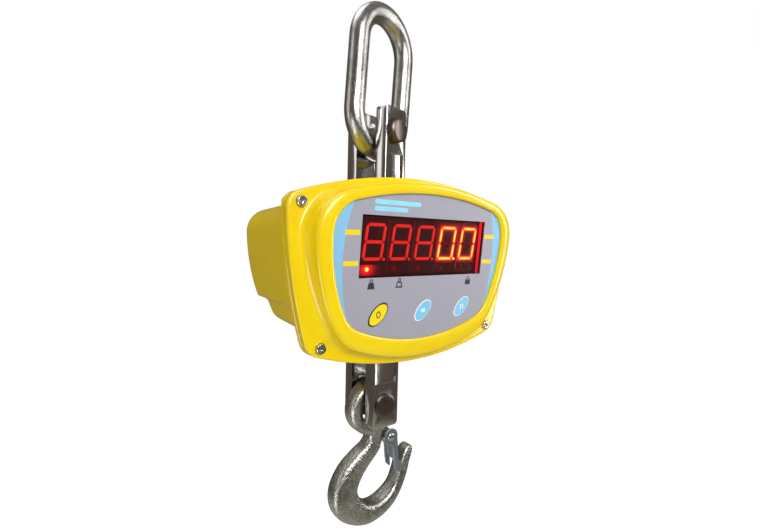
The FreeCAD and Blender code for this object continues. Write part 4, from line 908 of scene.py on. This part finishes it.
def shank_surface():
    """Superellipse section |a|^n + |b|^n = 1 with n = 4, carried along the shank's line."""
    line = eased_line(SHANK, 150)
    along = tangents(line[:, :2])
    across = np.stack([along[:, 1], -along[:, 0]], -1)
    a = np.linspace(0, 2 * np.pi, 56, endpoint=False)
    flat = np.sign(np.cos(a)) * np.abs(np.cos(a)) ** 0.6
    thick = np.sign(np.sin(a)) * np.abs(np.sin(a)) ** 0.5
    x = line[:, 0:1] + across[:, 0:1] * line[:, 2:3] * flat
    z = line[:, 1:2] + across[:, 1:2] * line[:, 2:3] * flat
    return skin(np.stack([x, line[:, 3:4] * thick, z], -1) + BOTTOM_PIN)


# %% Hook: eye and ear
def ring_surface(inner, outer, half, inner_round, outer_round, centre):
    """Ring about Y whose section is a rectangle with rounded corners."""
    a = np.linspace(0, np.pi / 2, 7)
    section = []
    for x0, z0, round_by, start in ((outer, half, outer_round, 0.0), (inner, half, inner_round, 1.0),
                                    (inner, -half, inner_round, 2.0), (outer, -half, outer_round, 3.0)):
        turn = a + start * np.pi / 2
        cx = x0 - round_by if x0 == outer else x0 + round_by
        cz = z0 - round_by if z0 > 0 else z0 + round_by
        section.append(round_by * ray(turn) + (cx, cz))
    section = np.concatenate(section)
    b = np.linspace(0, 2 * np.pi, 128, endpoint=False)[:, None]
    radius, depth = section[None, :, 0], section[None, :, 1]
    rings = np.stack([radius * np.cos(b), np.broadcast_to(depth, (128, len(section))),
                      radius * np.sin(b)], -1)
    return skin(rings + centre, closed=True)


EAR_HALF, EAR_RADIUS, LATCH_RELIEF = 4.5, 6.5, 15.0
RIVET_HOLE = 2.55
THROUGH = 20.0                        # reaches past either face of the hook and the latch
eye_centre = BOTTOM_PIN + (0.0, 0.0, -EYE_DROP)
eye = ring_surface(EYE_BORE, EYE_OUTER, HOOK_HALF, 3.0, 5.0, eye_centre)
hook = draw("forged_load_hook", together([shank_surface(), eye]))


def melt(piece, voxel, rounds):
    """Voxel remesh into one skin, then smooth it."""
    remesh = piece.modifiers.new("melt", "REMESH")
    remesh.mode = "VOXEL"
    remesh.voxel_size = voxel * MM
    soften = piece.modifiers.new("soften", "SMOOTH")
    soften.factor, soften.iterations = 0.5, rounds
    return settle(piece)


melt(hook, voxel=0.9, rounds=8)
for side in (1, -1):
    drill(hook, LATCH_PIN, (0, side, 0), EAR_HALF, THROUGH, LATCH_RELIEF, 64)
drill(hook, LATCH_PIN, DEPTHWAYS, -EAR_HALF, EAR_HALF, EAR_RADIUS, operation="UNION")
drill(hook, eye_centre, DEPTHWAYS, -THROUGH, THROUGH, EYE_BORE, 96)
drill(hook, LATCH_PIN, DEPTHWAYS, -THROUGH, THROUGH, RIVET_HOLE)
crease(hook.data, 48.0)
fit(hook, "hook", hook_zinc, ["hook"])

# %% [markdown]
# Safety latch.  A blue-zinc pressing: a cheek each side of the ear, joined by a web that faces
# the hook's tip.  Each cheek is a sheet cut to one outline, the web is a bent strip, and a fine
# voxel melt with a little smoothing gives the soft edges of pressed sheet.

# %% Latch
LATCH_HALF, SHEET = 7.5, 1.6
LATCH_HEAD = 9.0


def latch_cheek():
    """Outline about the latch's pin: round head, straight outer edge, hollow inner edge."""
    a = np.linspace(math.radians(-12), math.radians(205), 30)
    head = LATCH_HEAD * ray(a)
    b = np.linspace(math.radians(95), math.radians(8), 12)
    hollow = ray(b) * (8.6, 9.0) + (-4.6, -17.5)
    inner = np.array(((5.0, -28.0), (6.6, -37.4)))
    tip = np.array(((11.6, -42.4), (12.6, -41.6), (12.9, -39.6)))
    return np.concatenate([head, hollow, inner, tip])


def sheet_prism(outline, y0, y1):
    """Prism of an outline (x, z) between two depths, placed about the latch's pin."""
    rings = [np.stack([outline[:, 0], np.full(len(outline), y), outline[:, 1]], -1) for y in (y0, y1)]
    return skin(np.array(rings) + LATCH_PIN)


def latch_surface():
    """Two cheeks and the web between them."""
    cheek = latch_cheek()
    outside = np.array(((8.9, -9.0), (9.6, -14.0), (12.0, -31.0)))
    inside = outside[::-1] - (1.7, 0.0)
    web = np.concatenate([outside, inside])
    outer = LATCH_HALF + SHEET
    return together([sheet_prism(cheek, -outer, -LATCH_HALF), sheet_prism(cheek, LATCH_HALF, outer),
                     sheet_prism(web, 0.1 - outer, outer - 0.1)])


latch = draw("pressed_latch", latch_surface())
melt(latch, voxel=0.34, rounds=3)
drill(latch, LATCH_PIN, DEPTHWAYS, -THROUGH, THROUGH, RIVET_HOLE)
crease(latch.data, 50.0)
fit(latch, "latch", latch_zinc, ["latch"])

# %% Rivet and spring of the latch
RIVET_END = LATCH_HALF + SHEET + 1.8
RIVET_RADIUS, DOME_RISE = 2.5, 1.5
COIL_RADIUS, COIL_START, COIL_PITCH, WIRE_RADIUS = 4.0, 5.35, 0.7, 0.6
dome = np.linspace(0, np.pi / 2, 8)
stations = np.concatenate([-RIVET_END + DOME_RISE * (1 - np.sin(dome[::-1])), [-RIVET_END + DOME_RISE]])
radii = np.concatenate([0.2 + 4.2 * np.cos(dome[::-1]), [RIVET_RADIUS]])
rivet = turned(np.concatenate([stations, -stations[::-1]]), np.concatenate([radii, radii[::-1]]),
               LATCH_PIN, DEPTHWAYS, 48)
fit(draw("latch_rivet_domed", rivet, 40.0), "hook", bright_steel, ["latch_rivet"])


def spring_coil(side):
    """Wire wound round the rivet: two turns of a helix that end in a straight leg down the web."""
    turns = np.linspace(0, 4.0 * np.pi, 90)
    out = side * (COIL_START + COIL_PITCH * turns / (2 * np.pi))
    coil = np.stack([COIL_RADIUS * np.cos(turns), out, COIL_RADIUS * np.sin(turns)], -1)
    leg = coil[-1] + np.linspace(0, 1, 16)[1:, None] * np.array((2.4, side * 0.02, -15.0))
    line = np.concatenate([coil, leg])
    along = tangents(line)
    first = np.cross(along, (0.0, 1.0, 0.0))
    first /= np.linalg.norm(first, axis=1)[:, None]
    second = np.cross(along, first)
    a = np.linspace(0, 2 * np.pi, 10, endpoint=False)[None, :, None]
    return skin(line[:, None] + WIRE_RADIUS * (np.cos(a) * first[:, None] + np.sin(a) * second[:, None])
                + LATCH_PIN)


spring = draw("latch_spring_coils", together([spring_coil(1), spring_coil(-1)]))
fit(spring, "hook", bright_steel, ["latch_spring"])

# %% [markdown]
# Display.  Each digit is a black module with seven bars and a point let into its face, slanted
# a few degrees.  The first three show dimmer, the last two are the lit zeros with a decimal
# point, and their light spreads over the module around them.

# %% Digit bars
DIGIT_PITCH, DIGIT_FACE = 27.4, 4.6
DIGIT_SLANT = math.tan(math.radians(6.0))
MODULE_HALF, MODULE_LOW, MODULE_HIGH = 13.5, -14.9, 23.9
DIGIT_LEFT, DIGIT_UP = 0.6, 3.5
BAR_HALF, BAR_GAP = 1.35, 0.4
HALF_U, HALF_V = 8.9, 14.0            # half spacings of the bars' centre lines
CORNERS = [(side * HALF_U, level * HALF_V) for level in (1, 0, -1) for side in (-1, 1)]
BARS_AT = {name: (CORNERS[start], CORNERS[end]) for name, start, end in
           (("top", 0, 1), ("right_up", 1, 3), ("right_down", 3, 5), ("base", 5, 4),
            ("left_down", 4, 2), ("left_up", 2, 0), ("middle", 2, 3))}


def bar(ends, middle_u):
    """Six-sided bar between two ends with a crowned face; core is 1 along its middle line."""
    start, end = np.array(ends, float)
    length = np.linalg.norm(end - start)
    step = (end - start) / length
    side = np.array((-step[1], step[0]))
    t = np.array((BAR_GAP, BAR_GAP + 0.4, BAR_GAP + BAR_HALF, length / 2,
                  length - BAR_GAP - BAR_HALF, length - BAR_GAP - 0.4, length - BAR_GAP))
    width = np.clip(np.minimum(t, length - t) - BAR_GAP, 0.02, BAR_HALF)
    s = np.array((-1.0, -1.0, -0.5, 0.0, 0.5, 1.0, 1.0))
    lift = np.array((0.0, 0.30, 0.42, 0.48, 0.42, 0.30, 0.0))
    place = start + t[:, None, None] * step + (width[:, None] * s)[..., None] * side
    u = place[..., 0] + place[..., 1] * DIGIT_SLANT + middle_u
    v = place[..., 1] + DIGIT_UP
    core = np.broadcast_to(np.array((0.0, 0.1, 0.6, 1.0, 0.6, 0.1, 0.0)), u.shape)
    lit_length = np.clip(np.minimum(t, length - t)[:, None] / 2.2, 0, 1)
    return skin(leaning(np.stack([u, v], -1), DIGIT_FACE - lift)), (core * lit_length).ravel()


def dot(middle_u, v, radius=1.3):
    """Domed round point; core falls from its middle to its rim."""
    a = np.linspace(0, 2 * np.pi, 20, endpoint=False)
    radii = np.array((1.0, 0.98, 0.8, 0.45, 0.05)) * radius
    lift = np.array((0.0, 0.25, 0.40, 0.48, 0.5))
    u = middle_u + radii[:, None] * np.cos(a)
    up = v + radii[:, None] * np.sin(a)
    rings = leaning(np.stack([u, up], -1), DIGIT_FACE - lift[:, None])
    core = np.broadcast_to(np.array((0.0, 0.2, 0.6, 0.9, 1.0))[:, None], u.shape).ravel()
    return skin(rings), core


def glowing(name, made, body, finish, stands_for=(), attribute="core"):
    """Piece from (surface, values) pairs, with the values stored as an attribute."""
    piece = draw(name, together([surface for surface, _ in made]), 30.0)
    values = np.concatenate([value for _, value in made]).astype(np.float32)
    store = piece.data.attributes.new(attribute, "FLOAT", "POINT")
    store.data.foreach_set("value", values)
    return fit(piece, body, finish, stands_for)


ZERO_BARS = [name for name in BARS_AT if name != "middle"]
DIGITS, FIRST_LIT = 5, 3              # the digits before FIRST_LIT show dimmer
LAST = DIGITS - 1
for index in range(DIGITS):
    middle_u = (index - 2) * DIGIT_PITCH - DIGIT_LEFT
    shown = ZERO_BARS if index >= FIRST_LIT else list(BARS_AT)
    made = [bar(BARS_AT[name], middle_u) for name in shown]
    point = dot(middle_u + HALF_U + 1.7, DIGIT_UP - HALF_V - 0.3)
    if index != LAST:
        made.append(point)
    glowing(f"digit_{index + 1}_bars", made, "scale",
            bright_bars if index >= FIRST_LIT else dim_bars)
    if index >= FIRST_LIT:
        off = [bar(BARS_AT["middle"], middle_u)] + ([point] if index == LAST else [])
        glowing(f"digit_{index + 1}_dark_bars", off, "scale", dark_bars)


# %% Light spread over the modules
def bar_distance(u, v, middle_u, names):
    """Distance from each (u, v) to the nearest of a digit's named bars."""
    nearest = np.full(u.shape, 99.0)
    for name in names:
        start, end = (np.array((p[0] + p[1] * DIGIT_SLANT + middle_u, p[1] + DIGIT_UP))
                      for p in BARS_AT[name])
        step = end - start
        t = np.clip(((u - start[0]) * step[0] + (v - start[1]) * step[1]) / (step @ step), 0, 1)
        nearest = np.minimum(nearest, np.hypot(u - start[0] - t * step[0], v - start[1] - t * step[1]))
    return nearest


def face_plate(u0, u1, v0, v1, columns, rows, front, back):
    """Thin closed plate on the leaning face, as rings that go out along the front and back
    along the rear, with its front finely divided."""
    across = np.linspace(u0, u1, columns)
    u = np.concatenate([across, across[::-1]])
    depth = np.concatenate([np.full(columns, front), np.full(columns, back)])
    v = np.linspace(v0, v1, rows)[:, None]
    rings = leaning(np.stack(np.broadcast_arrays(u[None, :], v), -1), depth[None, :])
    return skin(rings), *np.broadcast_arrays(u[None, :], v)


def glow_plate(name, surface, glow):
    """Plate on the scale body whose red light follows glow."""
    glowing(name, [(surface, glow.ravel())], "scale", glow_red, attribute="glow")


for index in range(DIGITS):
    centre = (index - 2) * DIGIT_PITCH
    surface, u, v = face_plate(centre - MODULE_HALF, centre + MODULE_HALF, MODULE_LOW, MODULE_HIGH, 46, 64,
                               DIGIT_FACE - 0.12, DIGIT_FACE + 0.05)
    lit_up = index >= FIRST_LIT
    d = bar_distance(u, v, centre - DIGIT_LEFT, ZERO_BARS if lit_up else list(BARS_AT))
    if lit_up:
        glow = 0.85 * np.exp(-(d / 2.6) ** 2) + 0.40 * np.exp(-d / 4.0)
    else:
        glow = 0.16 * np.exp(-(d / 2.2) ** 2)
    glow_plate(f"digit_{index + 1}_face", surface, glow)

# %% [markdown]
# Light also leaks down the joints between modules, and fills the right edge of the filter.

# %% Leaks between modules and at the window's edge
JOINT_POWER, JOINT_HALF = (0.40, 0.34, 0.5, 0.9), 0.28
for index, power in enumerate(JOINT_POWER):
    edge_u = (index - 1.5) * DIGIT_PITCH
    surface, _, v = face_plate(edge_u - JOINT_HALF, edge_u + JOINT_HALF, -22.0, 22.5, 3, 40,
                               DIGIT_FACE - 0.2, DIGIT_FACE - 0.14)
    glow = power * (0.45 + 0.55 * smooth((v + 24.0) / 14.0))
    glow_plate(f"module_joint_{index + 1}", surface, glow)
surface, _, v = face_plate(69.4, 71.0, -24.8, 24.8, 3, 60, 2.6, 4.5)
glow = 0.80 + 0.20 * smooth((v + 24.0) / 30.0)
glow_plate("window_edge_light", surface, glow)

# %% [markdown]
# Five round indicator lamps stand in a black strip under the digits.  The first is lit and
# throws a wide red halo; the others only catch stray light.

# %% Indicator lamps
LAMP_V = -19.0
LAMPS = (-61.0, -33.5, -6.0, 21.5, 49.0)
HOLDER_FACE = 5.6
surface, u, v = face_plate(-68.3, 68.3, -24.6, -15.3, 200, 22, HOLDER_FACE - 0.1, HOLDER_FACE + 0.05)
halo = np.hypot((u - LAMPS[0]) / 1.35, v - LAMP_V)
glow = 1.0 * np.exp(-(halo / 5.6) ** 2) + 0.30 * np.exp(-halo / 6.0)
for at in LAMPS[1:]:
    glow = glow + 0.22 * np.exp(-(np.hypot((u - at) / 1.4, v - LAMP_V) / 2.6) ** 2)
glow_plate("lamp_strip_face", surface, glow)
LAMP_RADIUS, LAMP_TOP, LAMP_BASE = 2.0, 2.02, 14.4
dome = np.linspace(0, 1.5, 9)
radii = np.concatenate([[LAMP_RADIUS], LAMP_RADIUS * np.cos(dome), [0.1]])[:, None, None]
lift = np.concatenate([LAMP_RADIUS * np.sin(dome), [LAMP_TOP]])
depth = np.concatenate([[LAMP_BASE], DIGIT_FACE + 0.3 - 0.55 * lift])[:, None]
round_dir = ray(np.linspace(0, 2 * np.pi, 28, endpoint=False))
core = np.repeat(np.concatenate([[0.0], lift / LAMP_TOP]), len(round_dir))
for number, at in enumerate(LAMPS):
    rings = leaning(radii * round_dir + (at, LAMP_V), depth)
    glowing(f"lamp_{number + 1}", [(skin(rings), core)], "scale",
            bright_bars if number == 0 else dark_bars,
            ["indicator_leds"] if number == 0 else ())

# %% [markdown]
# Printed marks.  Lettering is left out: the legends under the window become plain signs (a
# weight, a hollow weight, a padlock), the keys carry a nought, two arrows and two bars, and the
# strip above the window is a pair of plain stripes.  Each mark is a film of ink with real edges.

# %% Ink shapes
def ink(outline, centre, front, thick=0.10):
    """Prism of ink from an outline (u, v) about centre."""
    at = np.array(outline, float) + centre
    return skin([leaning(at, front), leaning(at, front + thick)])


def hoop(inner, outer, front, thick=0.10):
    """Ink between two outlines with equal numbers of points."""
    inner, outer = np.array(inner, float), np.array(outer, float)
    return skin([leaning(outer, front), leaning(outer, front + thick),
                 leaning(inner, front + thick), leaning(inner, front)], closed=True)


def oval(centre, half_u, half_v, count=40, start=0.0, end=360.0):
    """centre + (half_u cos a, half_v sin a), from start to end in degrees."""
    a = np.radians(np.linspace(start, end, count, endpoint=end - start < 360.0))
    return ray(a) * (half_u, half_v) + centre


def box_outline(half_u, half_v):
    """Four corners about the middle."""
    return np.array(((-half_u, -half_v), (half_u, -half_v), (half_u, half_v), (-half_u, half_v)))


PRINT_FRONT = -0.08
WEIGHT = np.array(((-3.6, -3.0), (3.6, -3.0), (2.5, 2.2), (-2.5, 2.2)))


def weight_sign(centre, hollow):
    """A weight with a ring on top, filled or hollow."""
    centre = np.array(centre)
    if hollow:
        body = hoop(WEIGHT * (0.62, 0.58) + centre, WEIGHT + centre, PRINT_FRONT)
    else:
        body = ink(WEIGHT, centre, PRINT_FRONT)
    ring_at = centre + (0.0, 3.6)
    return together([body, hoop(oval(ring_at, 0.9, 0.9), oval(ring_at, 1.7, 1.7), PRINT_FRONT)])


def padlock_sign(centre):
    """A box with an arch on top."""
    centre = np.array(centre)
    arch = np.concatenate([oval(centre + (0.0, 1.4), 2.3, 2.8, 20, 0, 180),
                           oval(centre + (0.0, 1.4), 1.4, 1.9, 20, 180, 0)])
    return together([ink(box_outline(3.4, 2.4), centre + (0.0, -1.2), PRINT_FRONT),
                     ink(arch, 0.0, PRINT_FRONT)])


def stripe(u0, u1, v, half):
    """Bar from u0 to u1 with half-round ends."""
    outline = np.concatenate([oval((u1 - half, v), half, half, 14, -90, 90),
                              oval((u0 + half, v), half, half, 14, 90, 270)])
    return ink(outline, 0.0, PRINT_FRONT)


SIGN_V = -31.6
marks = together([weight_sign((-59.0, SIGN_V), False), weight_sign((-29.8, SIGN_V), True),
                  padlock_sign((55.0, SIGN_V))])
fit(draw("printed_signs", marks), "scale", dark_ink)
stripes = together([stripe(-61.0, -12.0, 36.0, 1.9), stripe(-61.0, -26.0, 30.6, 1.9)])
fit(draw("printed_stripes", stripes), "scale", blue_ink)

# %% Marks on the keys
KEY_TOP, INK_RISE = -0.4, 0.07
KEY_FRONT = KEY_TOP - INK_RISE
key_at = {name: np.array((at, KEY_V)) for name, at in KEYS.items()}
nought = hoop(oval(key_at["zero_button"], 1.3, 2.1), oval(key_at["zero_button"], 2.2, 3.0), KEY_FRONT)
fit(draw("zero_key_sign", nought), "zero_button", dark_ink)
arrow = np.array(((-2.6, 0.35), (0.6, 0.35), (0.6, -0.6), (2.6, 0.95), (0.6, 2.5), (0.6, 1.55), (-2.6, 1.55)))
arrows = together([ink(arrow, key_at["unit_button"], KEY_FRONT),
                   ink(-arrow, key_at["unit_button"], KEY_FRONT)])
fit(draw("unit_key_sign", arrows), "unit_button", white_ink)
bars = together([ink(box_outline(0.65, 2.5), key_at["hold_button"] + (side * 1.5, 0.0), KEY_FRONT)
                 for side in (-1, 1)])
fit(draw("hold_key_sign", bars), "hold_button", white_ink)

# %% [markdown]
# Remaining solids keep their CAD shape and get the finish of their material slot.

# %% Finishes for the solids that stay
slot_finish = {"forged_steel": link_zinc, "polished_steel": fork_steel, "pin_steel": pin_steel,
               "bright_steel": bright_steel, "zinc_sheet": latch_zinc, "cell_steel": cell_steel,
               "yellow_shell": yellow, "panel": film, "red_window": window_red,
               "board": board_green, "digit_black": module_black, "red_led": dark_bars,
               "switch_black": black_plastic, "key_yellow": key_caps["zero_button"],
               "key_blue": key_caps["unit_button"], "rubber_black": rubber, "brass_part": brass,
               "battery_wrap": battery_wrap, "lead_jacket": lead_jacket,
               "strap_steel": strap_steel, "plate_foil": foil}
for node, piece in frame["nodes"].items():
    piece.data.materials.clear()
    piece.data.materials.append(key_caps.get(node, slot_finish[slot_of[node]]))
print("solids kept:", sum(not piece.hide_render for piece in frame["nodes"].values()))

# %% [markdown]
# A plain pale floor lies well below the hook.  Soft lamps stand in front, left, right, above and low;
# polished steel shows them as the long white streaks that give it its shape, so the rest of the
# surroundings is kept dim for everything except the plain white backdrop behind the scale.

# %% Floor
FLOOR_DROP = 700.0
HALF_FLOOR = 9000.0
low_z = cad_box[0].z / MM - FLOOR_DROP


def pale_floor():
    """Pale grey that also glows a little."""
    finish = Finish("pale_floor", Roughness=0.9, Emission_Color=rgb(1, 1, 1), Emission_Strength=0.88)
    finish.feed(Base_Color=finish.mix(finish.noise(3.0), rgb(0.52, 0.52, 0.52), rgb(0.55, 0.55, 0.55)))
    return finish.material


grid = np.linspace(-HALF_FLOOR, HALF_FLOOR, 9)
floor_points = np.stack([*np.meshgrid(grid, grid, indexing="ij"), np.full((9, 9), low_z)], -1)
cells = np.arange(81).reshape(9, 9)
floor_faces = np.stack([cells[:-1, :-1], cells[1:, :-1], cells[1:, 1:], cells[:-1, 1:]], -1)
floor_mesh = bpy.data.meshes.new("floor")
floor_mesh.from_pydata((floor_points.reshape(-1, 3) * MM).tolist(), [],
                       floor_faces.reshape(-1, 4).tolist())
floor_mesh.materials.append(pale_floor())
floor = show("floor", floor_mesh)
floor.visible_glossy = False
floor.visible_diffuse = False

# %% Lamps and surroundings
def soft_lamp(name, at, aim, width, height, power, colour=(1.0, 1.0, 1.0)):
    """Rectangular lamp at a point in mm, facing aim."""
    data = bpy.data.lights.new(name, "AREA")
    data.shape = "RECTANGLE"
    data.size, data.size_y = width * MM, height * MM
    data.energy = power
    data.color = colour
    lamp = show(name, data)
    place = Vector((np.array(at, float) + HOME) * MM)
    towards = Vector((np.array(aim, float) + HOME) * MM) - place
    lamp.matrix_world = Matrix.Translation(place) @ towards.to_track_quat("-Z", "Y").to_matrix().to_4x4()


soft_lamp("front_lamp", (-150, -1500, 700), (0, 0, 0), 700, 900, 21.5)
soft_lamp("left_lamp", (-1300, 430, 350), (0, 0, 60), 420, 1500, 2.8)
soft_lamp("right_lamp", (1087, -796, 300), (0, 0, 0), 150, 1400, 6.0)
soft_lamp("top_lamp", (-300, 500, 1500), (0, 0, 0), 900, 900, 9.0)
soft_lamp("low_lamp", (-1000, -350, -650), (0, 0, -220), 460, 700, 4.0)

class Surroundings(Finish):
    """The world's nodes, made in the same way as a material's."""

    def __init__(self, name):
        self.world = bpy.data.worlds.new(name)
        self.world.use_nodes = True
        self.tree = self.world.node_tree


around = Surroundings("studio")
bpy.context.scene.world = around.world
towards = around.node("TexCoord", output="Generated")
rise = around.node("SeparateXYZ", inputs={0: towards}, output=2) * 0.5 + 0.5
dim_room = around.node("ValToRGB", inputs={0: rise})
stops = dim_room.socket.node.color_ramp.elements
for stop, position, colour in ((stops[0], 0.18, rgb(0.46, 0.45, 0.38)),
                               (stops[1], 0.95, rgb(0.30, 0.30, 0.31))):
    stop.position, stop.color = position, colour
for position, colour in ((0.32, rgb(0.11, 0.095, 0.08)), (0.66, rgb(0.13, 0.105, 0.085))):
    stops.new(position).color = colour
seen_by_camera = around.node("LightPath", output="Is Camera Ray")
choose = around.node("MixShader", inputs={0: seen_by_camera,
                                          1: around.node("Background", inputs={"Color": dim_room}),
                                          2: around.node("Background", inputs={"Color": rgb(1, 1, 1)})})
around.connect(around.tree.nodes["World Output"].inputs["Surface"], choose)

# %% [markdown]
# The camera stands to the left of the scale and close to it, a little above the middle, with a
# wide lens and a slight roll.

# %% Camera
CAMERA_AT = np.array((-263.69, -363.04, 5.79))
YAW, PITCH, ROLL = (math.radians(a) for a in (36.81, 3.45, 1.35))
camera_data = bpy.data.cameras.new("camera")
camera_data.sensor_width, camera_data.lens = 36.0, 20.72
camera = show("camera", camera_data)
ahead = Vector((math.sin(YAW) * math.cos(PITCH), math.cos(YAW) * math.cos(PITCH), -math.sin(PITCH)))
level = Vector((math.cos(YAW), -math.sin(YAW), 0.0))
up = level.cross(ahead)
right = level * math.cos(ROLL) + up * math.sin(ROLL)
axes = Matrix((right, right.cross(ahead), -ahead)).transposed().to_4x4()
camera.matrix_world = Matrix.Translation(Vector((CAMERA_AT + HOME) * MM)) @ axes
bpy.context.scene.camera = camera
bpy.context.scene.view_settings.view_transform = "Standard"
print("camera at", (CAMERA_AT + HOME).round(1), "mm in the frame")

# %% [markdown]
# Last, the view layer is brought up to date.

# %% Finish
bpy.context.view_layer.update()
